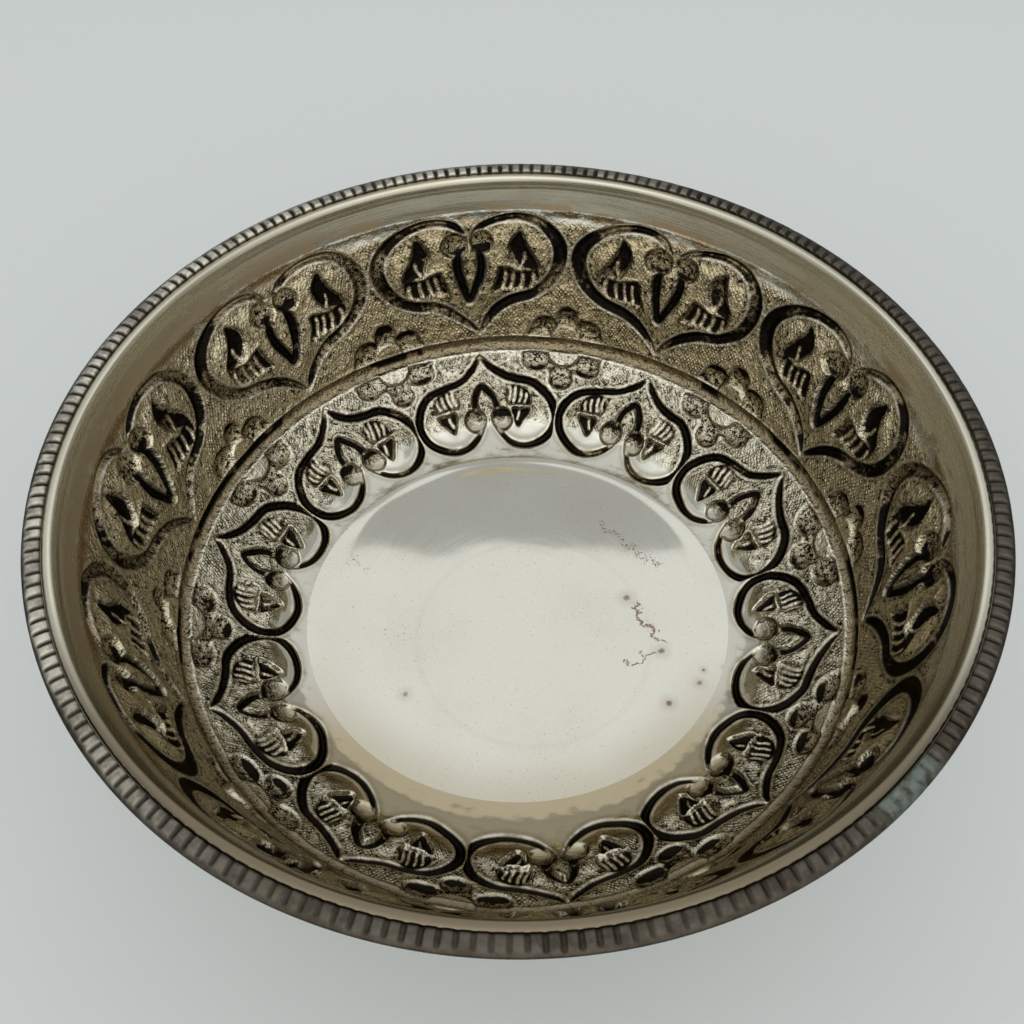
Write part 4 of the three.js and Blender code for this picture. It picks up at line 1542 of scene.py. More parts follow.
class Bench:
    """Adds and joins the nodes of one material."""

    def __init__(self, name: str) -> None:
        """Starts a material that holds only its output and one shader."""
        self.material = bpy.data.materials.new(name)
        self.material.use_nodes = True
        self.tree = self.material.node_tree
        self.tree.nodes.clear()
        self.shader = self.tree.nodes.new("ShaderNodeBsdfPrincipled")
        output = self.tree.nodes.new("ShaderNodeOutputMaterial")
        self.tree.links.new(self.shader.outputs[0], output.inputs[0])
        self.object = Signal(self, self.tree.nodes.new("ShaderNodeTexCoord").outputs["Object"])

    def set(self, socket: Socket, value: Signal | float | tuple) -> None:
        """Joins a socket to a signal, or gives it a value."""
        if isinstance(value, Signal):
            self.tree.links.new(value.socket, socket)
        elif isinstance(value, tuple) and socket.type == "RGBA":
            socket.default_value = (*value, 1.0)
        else:
            socket.default_value = value

    def add(self, kind: str, given: dict, **settings: str) -> bpy.types.Node:
        """Adds a node.

        Args:
            kind: The node's type.
            given: What its sockets are joined to or hold, by their names or numbers.
            settings: The node's own settings.

        Returns:
            The node.
        """
        node = self.tree.nodes.new(kind)
        for name, value in settings.items():
            setattr(node, name, value)
        for name, value in given.items():
            self.set(node.inputs[name], value)
        return node

    def layer(self, name: str, vector: bool = False) -> Signal:
        """Reads a layer that is stored on the mesh."""
        node = self.add("ShaderNodeAttribute", {}, attribute_name=name)
        return Signal(self, node.outputs["Vector" if vector else "Fac"])

    def split(self, vector: Signal) -> list[Signal]:
        """The three parts of a vector."""
        node = self.add("ShaderNodeSeparateXYZ", {0: vector})
        return [Signal(self, output) for output in node.outputs]

    def join(self, x: Signal, y: Signal, z: Signal | float) -> Signal:
        """A vector of three parts."""
        return Signal(self, self.add("ShaderNodeCombineXYZ", {0: x, 1: y, 2: z}).outputs[0])

    def number(self, operation: str, *values: Signal | float) -> Signal:
        """Arithmetic on numbers."""
        node = self.add("ShaderNodeMath", dict(enumerate(values)), operation=operation)
        return Signal(self, node.outputs[0])

    def constant(self, value: float) -> Signal:
        """A plain number as a signal."""
        node = self.add("ShaderNodeValue", {})
        node.outputs[0].default_value = value
        return Signal(self, node.outputs[0])

    def most(self, first: Signal, *others: Signal) -> Signal:
        """The largest of some numbers."""
        for other in others:
            first = self.number("MAXIMUM", first, other)
        return first

    def measure(self, operation: str, first: Signal, second: tuple = (0.0, 0.0, 0.0)) -> Signal:
        """A number that is worked out from two vectors."""
        node = self.add("ShaderNodeVectorMath", {0: first, 1: second}, operation=operation)
        return Signal(self, node.outputs["Value"])

    def noise(self, scale: float, detail: float, rough: float = 0.5, vector: Signal | None = None) -> Signal:
        """Cloudy numbers of about 0.25 to 0.75.

        Args:
            scale: How many clouds there are in a metre.
            detail: How many times finer clouds are laid over them.
            rough: How strong the finer ones are.
            vector: Where they are read, the place on the piece if nothing is given.

        Returns:
            The numbers.
        """
        given = {"Vector": vector or self.object, "Scale": scale, "Detail": detail, "Roughness": rough}
        return Signal(self, self.add("ShaderNodeTexNoise", given).outputs[0])

    def round_streaks(self, across: Signal, along: float, fine: float, detail: float) -> Signal:
        """Noise drawn out round the bowl's axis.

        Args:
            across: The coordinate that the noise changes with.
            along: How fast it changes round the axis.
            fine: How fast it changes across, for each metre.
            detail: How many times finer noise is laid over it.

        Returns:
            The noise.
        """
        x, y, _ = self.split(self.object)
        outward = self.add("ShaderNodeVectorMath", {0: self.join(x, y, 0.0)}, operation="NORMALIZE")
        given = {0: Signal(self, outward.outputs["Vector"]), "Scale": along}
        drawn = self.add("ShaderNodeVectorMath", given, operation="SCALE")
        x, y, _ = self.split(Signal(self, drawn.outputs["Vector"]))
        return self.noise(1.0, detail, vector=self.join(x, y, across * fine))

    def mix(self, share: Signal | float, first: Signal | Colour, second: Signal | Colour) -> Signal:
        """Mixes two colours."""
        node = self.add("ShaderNodeMix", {"Factor": share, 6: first, 7: second}, data_type="RGBA")
        return Signal(self, node.outputs[2])

    def washed(self, colour: Colour, washes: tuple[tuple[Signal, Colour], ...]) -> Signal:
        """Lays washes of colour over a ground.

        Args:
            colour: The ground's colour.
            washes: How much of each wash there is, and its colour.

        Returns:
            The colour with all washes over it.
        """
        for share, wash in washes:
            colour = self.mix(share, colour, wash)
        return colour

    def bump(self, height: Signal, distance: float, under: Signal | None = None) -> Signal:
        """A normal that follows a height of 0 to 1, which stands for the distance in metres."""
        given = {"Distance": distance, "Height": height}
        if under is not None:
            given["Normal"] = under
        return Signal(self, self.add("ShaderNodeBump", given).outputs[0])

    def finish(self, colour: Signal | Colour, roughness: Signal | float, normal: Signal | None = None,
               metal: float = 1.0, edge_tint: Colour = (1.0, 1.0, 1.0)) -> bpy.types.Material:
        """Sets the shader up.

        Args:
            colour: The colour.
            roughness: From 0 for a mirror to 1 for a dull face.
            normal: The normal, if it isn't the mesh's own.
            metal: 1 for metal and 0 for anything else.
            edge_tint: What is reflected at a flat angle.

        Returns:
            The material.
        """
        given = {"Base Color": colour, "Roughness": roughness, "Metallic": metal, "Specular Tint": edge_tint}
        if normal is not None:
            given["Normal"] = normal
        for name, value in given.items():
            self.set(self.shader.inputs[name], value)
        return self.material


def rim_tarnish(bench: Bench, where: Signal) -> Signal:
    """The brown tarnish along the top of the hearts: how much of it there is, from 0 to 1.

    Args:
        bench: The material that gets it.
        where: How far the place belongs to the ring that the tarnish keeps to.

    Returns:
        Its share, patchy all round and most on the left.
    """
    x, y, z = bench.split(bench.object)
    patch = bench.noise(85, 4.0, 0.65, bench.join(x, y, z * 3.0))
    side = x.fade(*LEFT_SIDE, 0.0, 0.17)
    back = y.fade(0.06, 0.11, 0.0, 0.05)
    return (patch + side + back).fade(0.52, 0.60, 0.0, 0.95) * where


class ChasedSheet:
    """What the chased finish is worked out from: the sheet's layers, its places and its noises."""

    def __init__(self, bench: Bench) -> None:
        """Reads the layers and finds out which part of the bowl a place belongs to."""
        self.crease = bench.layer("crease")
        self.plain = bench.layer("plain")
        self.x, self.v, self.hatch = bench.split(bench.layer("sheet", vector=True))
        self.east, self.north, _ = bench.split(bench.object)
        self.cloud = bench.noise(55, 3.0)
        self.patch = bench.noise(190, 4.0, 0.6)
        self.fleck = bench.noise(620, 3.0, 0.65)
        self.grit = bench.noise(1800, 2.0, 0.6)
        self.high = self.v.fade(*ABOVE_CREASE)
        # Painted shade on the near side of the bowl: more black, and an olive wash in the ground.
        self.near = (self.east * 0.2 - self.north).fade(0.0, 0.10, 0.0, 0.25)
        # Painted light on the left of the upper frieze.
        self.left = self.east.fade(-0.03, -0.09) * self.high
        # The patina, with painted shade adding black on the near side and painted light taking some away on
        # the left.
        self.patina = bench.layer("patina") * (self.near * 2.2 + 1.0) - self.left * 0.14
        # Painted highlight on the burnished lines, weaker above the crease.
        self.burnish_and_highlight = bench.layer("burnish_and_highlight") * self.v.fade(*ABOVE_CREASE, 1.0, 0.7)
        self.mixed = self.patch * 0.6 + self.cloud * 0.4
        self.mottle = self.fleck * 0.4 + self.mixed * 0.6


@dataclass(frozen=True)
class ChasedFinish:
    """Silver plate with black patina in the chasing and a hatched ground, with painted light, shade and
    highlights that differ from side to side.
    """

    silver: Colour = (0.62, 0.58, 0.46)
    tarnish: Colour = (0.52, 0.43, 0.265)
    grey: Colour = (0.50, 0.49, 0.43)
    olive: Colour = (0.20, 0.155, 0.09)
    rust: Colour = (0.33, 0.235, 0.135)
    # Painted light on the left and right of the upper frieze.
    pale: Colour = (0.70, 0.61, 0.43)
    black: Colour = (0.010, 0.008, 0.006)
    # Burnished silver, lightened further as a painted highlight.
    bright: Colour = (0.80, 0.77, 0.66)
    # Painted reflection of the tan walls, low on the near side.
    tan: Colour = (0.36, 0.29, 0.17)
    # Painted shade in the crease on the near side.
    umber: Colour = (0.12, 0.092, 0.052)
    edge_tint: Colour = (0.6, 0.55, 0.45)
    hatch_pitch: float = 1.1
    hatch_turns: tuple[float, float] = (-0.5, 0.75)
    hatch_bump: float = 0.00022
    fleck_bump: float = 0.00055
    patch_bump: float = 0.00120

    def hatching(self, bench: Bench, sheet: ChasedSheet) -> list[Signal]:
        """Hatches the sheet in two directions.

        Args:
            bench: The material.
            sheet: The sheet that is hatched.

        Returns:
            Two sets of lines, each from 0 in a line to 1 between two.
        """
        wander = bench.noise(260, 1.0) * 6.0
        rate = math.pi / self.hatch_pitch
        sets = []
        for turn in self.hatch_turns:
            phase = sheet.x * (rate * math.cos(turn)) + sheet.v * (rate * math.sin(turn)) + wander
            sets.append(abs(bench.number("SINE", phase)))
        return sets

    def darkness(self, bench: Bench, sheet: ChasedSheet, strokes: Signal, crossing: Signal) -> Signal:
        """Finds where black is left: in hollows, in the hatching, in the crease and in specks.

        Args:
            bench: The material.
            sheet: The sheet.
            strokes: The first set of hatched lines.
            crossing: The second set.

        Returns:
            How black a place is.
        """
        dashes = strokes.fade(0.18, 0.52, 1.0, 0.0) * sheet.fleck.fade(0.47, 0.54)
        crossed = crossing.fade(0.08, 0.34, 1.0, 0.0) * sheet.patch.fade(0.50, 0.62)
        lines = sheet.hatch * bench.most(dashes, crossed) * sheet.mixed.fade(0.40, 0.52, 0.35, 1.0)
        deposit = sheet.cloud * 0.5 + sheet.mottle * 0.5
        worn = (deposit + sheet.patina * 0.32).fade(0.765, 0.835) * sheet.patina.fade(0.3, 0.6)
        seam = sheet.crease * sheet.v.fade(-1.0, 0.2) * sheet.cloud.fade(0.49, 0.53)
        speck = sheet.fleck * 0.55 + sheet.grit * 0.45 + sheet.patina.fade(0.0, 0.4) * 0.07
        speck = speck.fade(0.57, 0.61) * ((1.0 - sheet.plain) * (1.0 - sheet.burnish_and_highlight))
        return bench.most(worn, lines, seam, speck) * sheet.burnish_and_highlight.fade(0.15, 0.6, 1.0, 0.0)

    def ground(self, bench: Bench, sheet: ChasedSheet, near_crease_shade: Signal) -> Signal:
        """Works out the colour under the black, with painted light and shade that differ from side to side
        of the bowl.

        Args:
            bench: The material.
            sheet: The sheet.
            near_crease_shade: How far a place belongs to the near side of the crease.

        Returns:
            The colour.
        """
        # Painted reflection on the near side of the lower plain band and the cove.
        near_low_reflection = sheet.north.fade(-0.02, -0.05) * sheet.v.fade(-8.0, -20.0, 0.0, 0.8)
        # Painted light on the right of the upper frieze.
        right = sheet.east.fade(0.04, 0.10, 0.0, 0.5) * sheet.high
        washes = (
            (sheet.high, self.tarnish),
            (sheet.mottle.fade(0.42, 0.6, 0.0, 0.45), self.olive),
            # Painted shade: olive on the near side of the bowl.
            (sheet.near * 0.5, self.olive),
            # Painted light: pale on the left and right of the upper frieze.
            (bench.most(sheet.left * 0.7, right), self.pale),
            (sheet.plain, self.grey),
            # Painted reflection: tan low on the near side.
            (near_low_reflection * sheet.plain, self.tan),
            (rim_tarnish(bench, sheet.v.fade(41.0, 47.0)), self.rust),
            (sheet.crease * 0.85, self.olive),
            # Painted shade in the crease on the near side.
            (near_crease_shade, self.umber),
            (sheet.patina, self.olive),
        )
        return bench.washed(self.silver, washes)

    def make(self) -> bpy.types.Material:
        """Builds the material."""
        bench = Bench("chased_silver_plate")
        sheet = ChasedSheet(bench)
        strokes, crossing = self.hatching(bench, sheet)
        dark = self.darkness(bench, sheet, strokes, crossing)
        # Painted shade in the crease on the near side of the bowl.
        near_crease_shade = abs(sheet.v).fade(3.0, 4.0, 1.0, 0.0) * sheet.north.fade(-0.02, -0.07, 0.0, 0.9)
        ground = self.ground(bench, sheet, near_crease_shade)
        # Painted highlight over the burnished lines, left out in the near side of the crease.
        burnish_highlight_share = sheet.burnish_and_highlight * (1.0 - near_crease_shade) * sheet.patch.fade(0.35, 0.6, 0.2, 0.8)
        colour = bench.mix(dark, bench.mix(burnish_highlight_share, ground, self.bright), self.black)
        rough = sheet.grit.fade(0.3, 0.7, 0.14, 0.28) + dark * 0.18 - sheet.plain * 0.06 + sheet.high * 0.09
        calm = 1.0 - sheet.plain * sheet.v.fade(*ABOVE_CREASE, 0.94, 0.7)
        uneven = calm * (1.0 - sheet.near * 2.0)
        pillow = strokes * crossing * sheet.patch.fade(0.38, 0.58, 0.15, 1.0)
        normal = bench.bump(pillow * sheet.hatch, self.hatch_bump)
        normal = bench.bump(sheet.fleck * uneven, self.fleck_bump, normal)
        normal = bench.bump(sheet.patch * uneven, self.patch_bump, normal)
        return bench.finish(colour, rough, normal, edge_tint=self.edge_tint)


@dataclass(frozen=True)
class Stain:
    """A brown spot on the floor: its place in millimetres, its radius and its strength."""

    x: float
    y: float
    radius: float
    strength: float

    def share(self, bench: Bench, flat: Signal, wobble: Signal) -> Signal:
        """Works out how much a place belongs to the spot, or to the faint halo round it.

        Args:
            bench: The material.
            flat: The place, seen from above.
            wobble: Noise that makes the outline uneven.

        Returns:
            Its share.
        """
        radius = self.radius * MM
        away = bench.measure("DISTANCE", flat, (self.x * MM, self.y * MM, 0.0)) + wobble * radius
        spot = away.fade(radius * 0.7, radius * 1.9, self.strength, 0.0)
        halo = away.fade(radius, radius * 4.0, self.strength * 0.25, 0.0)
        return bench.most(spot, halo)


@dataclass(frozen=True)
class PitTrail:
    """A trail of small black pits on the floor, from one place to another in millimetres."""

    start: Pair
    end: Pair
    half_width: float
    strength: float
    taper: float = 2.0

    def share(self, bench: Bench, flat: Signal, wander: Signal) -> Signal:
        """Works out how much a place belongs to the trail.

        Args:
            bench: The material.
            flat: The place, seen from above.
            wander: How far the trail strays sideways, in metres.

        Returns:
            Its share.
        """
        length = math.dist(self.start, self.end)
        ahead_x = (self.end[0] - self.start[0]) / length
        ahead_y = (self.end[1] - self.start[1]) / length
        x, y, _ = bench.split(flat)
        off_x = x - self.start[0] * MM
        off_y = y - self.start[1] * MM
        along = off_x * ahead_x + off_y * ahead_y
        across = abs(off_y * ahead_x - off_x * ahead_y + wander)
        taper = self.taper * MM
        ends = along.fade(0.0, taper) * along.fade(length * MM, length * MM - taper)
        return ends * across.fade(0.0, self.half_width * MM, self.strength, 0.0)


@dataclass(frozen=True)
class DiscFinish:
    """Bright silver plate with wiping marks, brown spots, small black pits and a painted tan reflection
    along its near edge.
    """

    silver: Colour = (0.64, 0.63, 0.565)
    haze: Colour = (0.52, 0.48, 0.38)
    grain: Colour = (0.47, 0.45, 0.38)
    heat_mark: Colour = (0.45, 0.43, 0.36)
    # Painted reflection along the near edge of the floor.
    edge: Colour = (0.42, 0.37, 0.27)
    brown: Colour = (0.16, 0.09, 0.05)
    ring_centre: Pair = (5.0, -10.0)
    ring_radius: float = 36.8
    ring_width: float = 1.6
    wipe_bump: float = 0.0000003
    dent_bump: float = 0.00001
    stains: tuple[Stain, ...] = (
        Stain(35.3, 5.0, 1.3, 0.7), Stain(45.0, -14.6, 1.3, 0.75), Stain(45.8, -32.7, 1.2, 0.85),
        Stain(55.7, -25.9, 1.0, 0.7), Stain(-34.3, -29.4, 1.1, 0.6), Stain(57.4, -21.4, 0.6, 0.9),
        Stain(64.0, -20.5, 0.6, 0.9),
    )
    trails: tuple[PitTrail, ...] = (
        PitTrail((26.5, 36.0), (47.0, 15.5), 3.6, 0.15), PitTrail((36.0, 3.5), (47.0, -13.0), 1.6, 0.26),
        PitTrail((46.0, -13.0), (32.0, -20.0), 1.2, 0.20), PitTrail((24.0, -8.6), (26.4, -8.0), 1.0, 0.3),
        PitTrail((-57.0, 22.0), (-48.0, 16.0), 3.0, 0.10),
    )

    def marks(self, bench: Bench, flat: Signal, cloud: Signal) -> Signal:
        """Gathers the disc's stains, loose pits and trails of pits.

        Args:
            bench: The material.
            flat: The place, seen from above.
            cloud: Noise that says where loose pits are.

        Returns:
            How brown a place is.
        """
        wobble = bench.noise(700, 3.0, 0.6)
        grit = bench.noise(1300, 4.0, 0.7)
        stains = [stain.share(bench, flat, wobble) for stain in self.stains]
        pits = grit.fade(0.62, 0.67) * cloud.fade(0.50, 0.60) * 0.7
        wander = (bench.noise(190, 3.0) - 0.5) * 0.012
        dense = [grit + trail.share(bench, flat, wander) for trail in self.trails]
        return bench.most(pits, *stains, *[share.fade(0.64, 0.70, 0.0, 0.8) for share in dense])

    def make(self) -> bpy.types.Material:
        """Builds the material."""
        bench = Bench("bright_silver_disc")
        x, y, _ = bench.split(bench.object)
        flat = bench.join(x, y, 0.0)
        radius = bench.measure("LENGTH", flat)
        cloud = bench.noise(28, 4.0, 0.6)
        mark = self.marks(bench, flat, cloud)
        centre = (self.ring_centre[0] * MM, self.ring_centre[1] * MM, 0.0)
        from_ring = abs(bench.measure("DISTANCE", flat, centre) - self.ring_radius * MM)
        washes = (
            (cloud.fade(0.35, 0.75, 0.0, 0.3), self.haze),
            (bench.noise(2300, 3.0, 0.7).fade(0.35, 0.7, 0.0, 0.22), self.grain),
            (from_ring.fade(0.0, self.ring_width * MM, 0.12, 0.0), self.heat_mark),
            # Painted reflection: tan on the outer ring of the floor, on its near side.
            (radius.fade(0.048, 0.066) * y.fade(-0.01, -0.05, 0.0, 0.6), self.edge),
            (mark, self.brown),
        )
        colour = bench.washed(self.silver, washes)
        wipes = bench.round_streaks(radius, 2.0, 900.0, 4.0)
        rough = wipes.fade(0.3, 0.7, 0.045, 0.07) + mark * 0.35
        normal = bench.bump(wipes, self.wipe_bump)
        normal = bench.bump(bench.noise(75, 2.0), self.dent_bump, normal)
        return bench.finish(colour, rough, normal)


@dataclass(frozen=True)
class BandFinish:
    """Satin silver plate with scratches round the bowl, brown tarnish along its foot, and painted shade on
    its far side and on its near side.
    """

    silver: Colour = (0.70, 0.66, 0.54)
    # Painted shade on the far side of the band.
    far: Colour = (0.40, 0.37, 0.29)
    haze: Colour = (0.50, 0.43, 0.30)
    # Painted shade on the near side, low on the band.
    shade: Colour = (0.085, 0.068, 0.045)
    # Painted shade on the near side of the lip.
    dull: Colour = (0.17, 0.14, 0.095)
    brown: Colour = (0.40, 0.29, 0.17)
    edge_tint: Colour = (0.6, 0.56, 0.45)
    scratch_bump: float = 0.0000045
    dent_bump: float = 0.00009

    def make(self, foot_z: float) -> bpy.types.Material:
        """Builds the material.

        Args:
            foot_z: Where the band starts, in metres.

        Returns:
            The material.
        """
        bench = Bench("satin_silver_band")
        x, y, z = bench.split(bench.object)
        scratch = bench.round_streaks(z, 5.0, 5200.0, 4.0)
        streak = bench.round_streaks(z, 3.0, 420.0, 3.0)
        low = z - x.fade(*LEFT_SIDE, 0.0, 0.0032)
        stain = rim_tarnish(bench, low.fade(foot_z + 0.0010, foot_z + 0.0038, 1.0, 0.0))
        stain = stain * x.fade(*LEFT_SIDE, 0.9, 0.55)
        washes = (
            # Painted shade: the far side, then the lower band and the lip on the near side.
            (y.fade(0.03, 0.10, 0.0, 0.55), self.far),
            (streak.fade(0.5, 0.72) * 0.3, self.haze),
            (y.fade(-0.04, -0.10) * z.fade(foot_z + 0.0025, foot_z + 0.0060) * 0.85, self.shade),
            (y.fade(-0.03, -0.10) * z.fade(foot_z + 0.0086, foot_z + 0.0100), self.dull),
            (stain, self.brown),
        )
        colour = bench.washed(self.silver, washes)
        rough = scratch.fade(0.3, 0.7, 0.2, 0.36) + stain * 0.15
        normal = bench.bump(scratch, self.scratch_bump)
        normal = bench.bump(bench.noise(90, 3.0), self.dent_bump, normal)
        return bench.finish(colour, rough, normal, edge_tint=self.edge_tint)


@dataclass(frozen=True)
class MilledFinish:
    """Milled strip in dark brown tarnish, its ribs worn bright; on the rim strip, painted light makes them
    brighter on the left and at the back.
    """

    bright: Colour = (0.72, 0.68, 0.58)
    brown: Colour = (0.045, 0.036, 0.027)
    umber: Colour = (0.078, 0.066, 0.05)
    dark: Colour = (0.02, 0.016, 0.012)
    verdigris: Colour = (0.22, 0.30, 0.27)
    joint: Pair | None = None
    evenly_rubbed: float = 0.5
    grit_bump: float = 0.00002
    patch_bump: float = 0.00005

    def rubbed(self, bench: Bench, x: Signal, y: Signal) -> Signal:
        """How bright the ribs are: worn bright, with painted light that is strongest on the left and at the
        back.
        """
        back = bench.number("MINIMUM", y * 0.15, y * 0.75)
        return (back - x * 0.75).fade(-0.055, 0.075, 0.06, 1.0)

    def make(self, name: str) -> bpy.types.Material:
        """Builds the material.

        Args:
            name: The material's name.

        Returns:
            The material.
        """
        bench = Bench(name)
        crest = bench.layer("crest")
        groove = bench.layer("groove")
        x, y, _ = bench.split(bench.object)
        cloud = bench.noise(30, 3.0)
        patch = bench.noise(300, 3.0, 0.6)
        # Worn ribs, with painted light on the rim strip that is strongest on the left and at the back.
        wear_and_side_light = bench.constant(self.evenly_rubbed) if self.joint is None else self.rubbed(bench, x, y)
        worn = (cloud + patch * 0.8).fade(0.70, 0.98, 0.35, 1.0) * crest * wear_and_side_light
        cut = groove * wear_and_side_light.fade(0.1, 0.6, 0.75, 0.97)
        colour = bench.mix(patch.fade(0.35, 0.7), self.brown, self.umber)
        colour = bench.mix(worn, colour, self.bright)
        colour = bench.mix(cut, colour, self.dark)
        if self.joint is not None:
            centre = (self.joint[0] * MM, self.joint[1] * MM, 0.0)
            away = bench.measure("DISTANCE", bench.join(x, y, 0.0), centre)
            green = away.fade(0.003, 0.015, 1.0, 0.0) * patch.fade(0.35, 0.6, 0.1, 0.5)
            colour = bench.mix(green, colour, self.verdigris)
        normal = bench.bump(bench.noise(2200, 2.0), self.grit_bump)
        normal = bench.bump(patch, self.patch_bump, normal)
        return bench.finish(colour, patch.fade(0.3, 0.7, 0.26, 0.46), normal)


@dataclass(frozen=True)
class TurnedFinish:
    """Bright silver plate on turned pieces, with wiping scratches and a little tarnish in corners."""

    silver: Colour = (0.82, 0.80, 0.74)
    haze: Colour = (0.56, 0.50, 0.38)
    pit: Colour = (0.10, 0.07, 0.05)
    scratch_bump: float = 0.000003
    dent_bump: float = 0.00004

    def make(self) -> bpy.types.Material:
        """Builds the material."""
        bench = Bench("bright_turned_silver")
        _, _, z = bench.split(bench.object)
        scratch = bench.round_streaks(z, 6.0, 6000.0, 4.0)
        cloud = bench.noise(60, 4.0, 0.6)
        dots = bench.noise(1600, 3.0, 0.7).fade(0.64, 0.69) * cloud.fade(0.5, 0.6, 0.0, 0.6)
        colour = bench.mix(cloud.fade(0.42, 0.75, 0.0, 0.55), self.silver, self.haze)
        colour = bench.mix(dots, colour, self.pit)
        normal = bench.bump(scratch, self.scratch_bump)
        normal = bench.bump(bench.noise(100, 3.0), self.dent_bump, normal)
        return bench.finish(colour, scratch.fade(0.3, 0.7, 0.13, 0.24), normal)


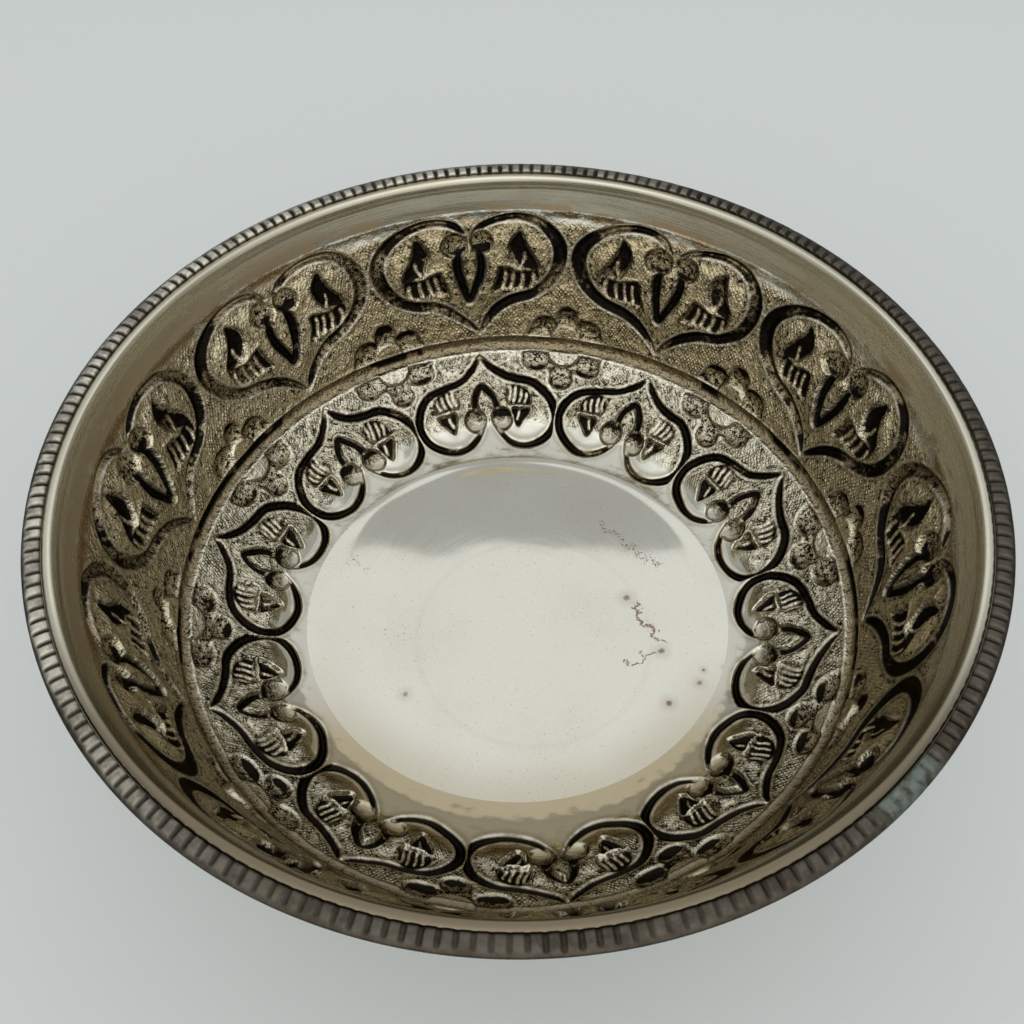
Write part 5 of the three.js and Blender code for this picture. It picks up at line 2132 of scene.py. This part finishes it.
@dataclass(frozen=True)
class Studio:
    """A plain pale floor, soft overhead light, and the camera of the photograph."""

    floor_colour: Colour = (0.62, 0.642, 0.636)
    floor_roughness: float = 0.9
    floor_half: float = 9.0
    softbox_size: Pair = (1.8, 2.6)
    softbox_place: tuple[float, float, float] = (0.0, -0.47, 1.2)
    softbox_radiance: float = 0.48
    room_colour: Colour = (0.97, 1.0, 0.99)
    room_levels: Points = ((0.0, 0.17), (0.25, 0.24), (0.5, 0.66), (0.8, 0.58), (1.0, 0.57))
    window_reach: Pair = (0.1, -0.8)
    window_level: float = 0.75
    lens: float = 38.67
    sensor_width: float = 36.0
    camera_y: float = -0.1858
    camera_above_lip: float = 0.2237
    lip_below_rim: float = 0.0006
    yaw: float = math.radians(0.26)
    pitch: float = math.radians(2.89)
    roll: float = math.radians(-0.22)

    def build(self, rim_top: float) -> None:
        """Sets up the floor, the light and the camera.

        Args:
            rim_top: The bowl's height in metres.
        """
        self.add_floor()
        self.add_light()
        self.add_world()
        self.add_camera(rim_top - self.lip_below_rim)
        bpy.context.scene.view_settings.view_transform = "Standard"

    def add_floor(self) -> None:
        """Lays a wide plain surface for the bowl to stand on."""
        MeshWork.deselect()
        bpy.ops.mesh.primitive_plane_add(size=2 * self.floor_half, location=(0, 0, 0))
        floor = bpy.context.object
        floor.name = "studio_floor"
        bench = Bench("studio_paper")
        floor.data.materials.append(bench.finish(self.floor_colour, self.floor_roughness, metal=0.0))

    def add_light(self) -> None:
        """Hangs one large softbox overhead."""
        light = bpy.data.lights.new("softbox", "AREA")
        light.shape = "RECTANGLE"
        light.size, light.size_y = self.softbox_size
        light.energy = self.softbox_radiance * math.pi * self.softbox_size[0] * self.softbox_size[1]
        lamp = bpy.data.objects.new("softbox", light)
        lamp.location = self.softbox_place
        bpy.context.collection.objects.link(lamp)

    def add_world(self) -> None:
        """Makes a pale room, darker below the horizon and brighter behind the camera."""
        world = bpy.data.worlds.new("pale_room")
        world.use_nodes = True
        bpy.context.scene.world = world
        nodes, links = world.node_tree.nodes, world.node_tree.links
        parts = nodes.new("ShaderNodeSeparateXYZ")
        links.new(nodes.new("ShaderNodeTexCoord").outputs["Generated"], parts.inputs[0])
        ramp = nodes.new("ShaderNodeValToRGB")
        ramp.color_ramp.interpolation = "EASE"
        while len(ramp.color_ramp.elements) < len(self.room_levels):
            ramp.color_ramp.elements.new(0.5)
        for stop, (height, level) in zip(ramp.color_ramp.elements, self.room_levels):
            stop.position = height
            stop.color = (level, level, level, 1.0)
        links.new(parts.outputs["Z"], ramp.inputs["Fac"])
        window = nodes.new("ShaderNodeMapRange")
        window.interpolation_type = "SMOOTHSTEP"
        given = (*self.window_reach, 0.0, self.window_level)
        for name, number in zip(("From Min", "From Max", "To Min", "To Max"), given):
            window.inputs[name].default_value = number
        links.new(parts.outputs["Y"], window.inputs["Value"])
        total = nodes.new("ShaderNodeMath")
        links.new(ramp.outputs["Color"], total.inputs[0])
        links.new(window.outputs[0], total.inputs[1])
        links.new(total.outputs[0], nodes["Background"].inputs["Strength"])
        nodes["Background"].inputs["Color"].default_value = (*self.room_colour, 1.0)

    def add_camera(self, lip_z: float) -> None:
        """Puts the camera at the photograph's place and angle.

        Args:
            lip_z: Height of the bowl's lip in metres.
        """
        place = np.array([0.0, self.camera_y, self.camera_above_lip])
        forward = -place / np.linalg.norm(place)
        right = np.array([1.0, 0.0, 0.0])
        rows = np.array([right, np.cross(forward, right), forward])
        for angle, axis in ((self.yaw, "Y"), (self.pitch, "X"), (self.roll, "Z")):
            rows = np.array(Matrix.Rotation(angle, 3, axis)) @ rows
        data = bpy.data.cameras.new("camera")
        data.lens = self.lens
        data.sensor_width = self.sensor_width
        camera = bpy.data.objects.new("camera", data)
        matrix = np.eye(4)
        matrix[:3, :3] = np.stack([rows[0], -rows[1], -rows[2]], 1)
        matrix[:3, 3] = (place[0], place[1], place[2] + lip_z)
        camera.matrix_world = Matrix(matrix.tolist())
        bpy.context.collection.objects.link(camera)
        bpy.context.scene.camera = camera


def main() -> None:
    """Builds every sub-assembly in order and dresses it."""
    logging.basicConfig(level=logging.INFO, format="%(relativeCreated)d %(name)s: %(message)s")
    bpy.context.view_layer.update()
    mounts = frame["record"]["mounts"]
    floor_z = next(mount["pos_m"][2] for mount in mounts if mount["name"] == "bowl_floor") / MM
    rim_low, rim_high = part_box("rim_border_strip")
    foot_low, foot_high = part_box("foot_border_strip")
    foot_radius = foot_high[0] / MM
    sizes = BowlSizes(floor_z=floor_z, rim_radius=rim_high[0] / MM)
    ChasedWall(sizes).assemble()
    FloorDisc(sizes).assemble()
    PlainBand(sizes).assemble()
    MilledStrip(
        name="milled_rim_strip",
        node="rim_border_strip",
        finish="milled_rim_tarnish",
        plain_radius=sizes.rim_radius,
        milled_radius=sizes.rim_radius - RIM_STRIP_WIDTH,
        seat_z=rim_low[2] / MM,
        ribs=220,
        joint_turn=JOINT_ANGLE,
    ).assemble()
    MilledStrip(
        name="milled_foot_strip",
        node="foot_border_strip",
        finish="milled_foot_tarnish",
        plain_radius=foot_radius - FOOT_STRIP_WIDTH,
        milled_radius=foot_radius,
        seat_z=foot_low[2] / MM,
        ribs=104,
    ).assemble()
    Pedestal(
        foot_radius=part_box("pedestal_foot")[1][0] / MM,
        foot_seat=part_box("pedestal_foot")[0][2] / MM,
        knop_seat=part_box("stem_knop")[0][2] / MM,
        stem_seat=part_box("stem_knop")[1][2] / MM,
        collar_seat=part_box("pedestal_stem")[1][2] / MM,
        bowl_seat=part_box("pedestal_collar")[1][2] / MM,
    ).assemble()
    Studio().build(rim_high[2])


if __name__ == "__main__":
    main()
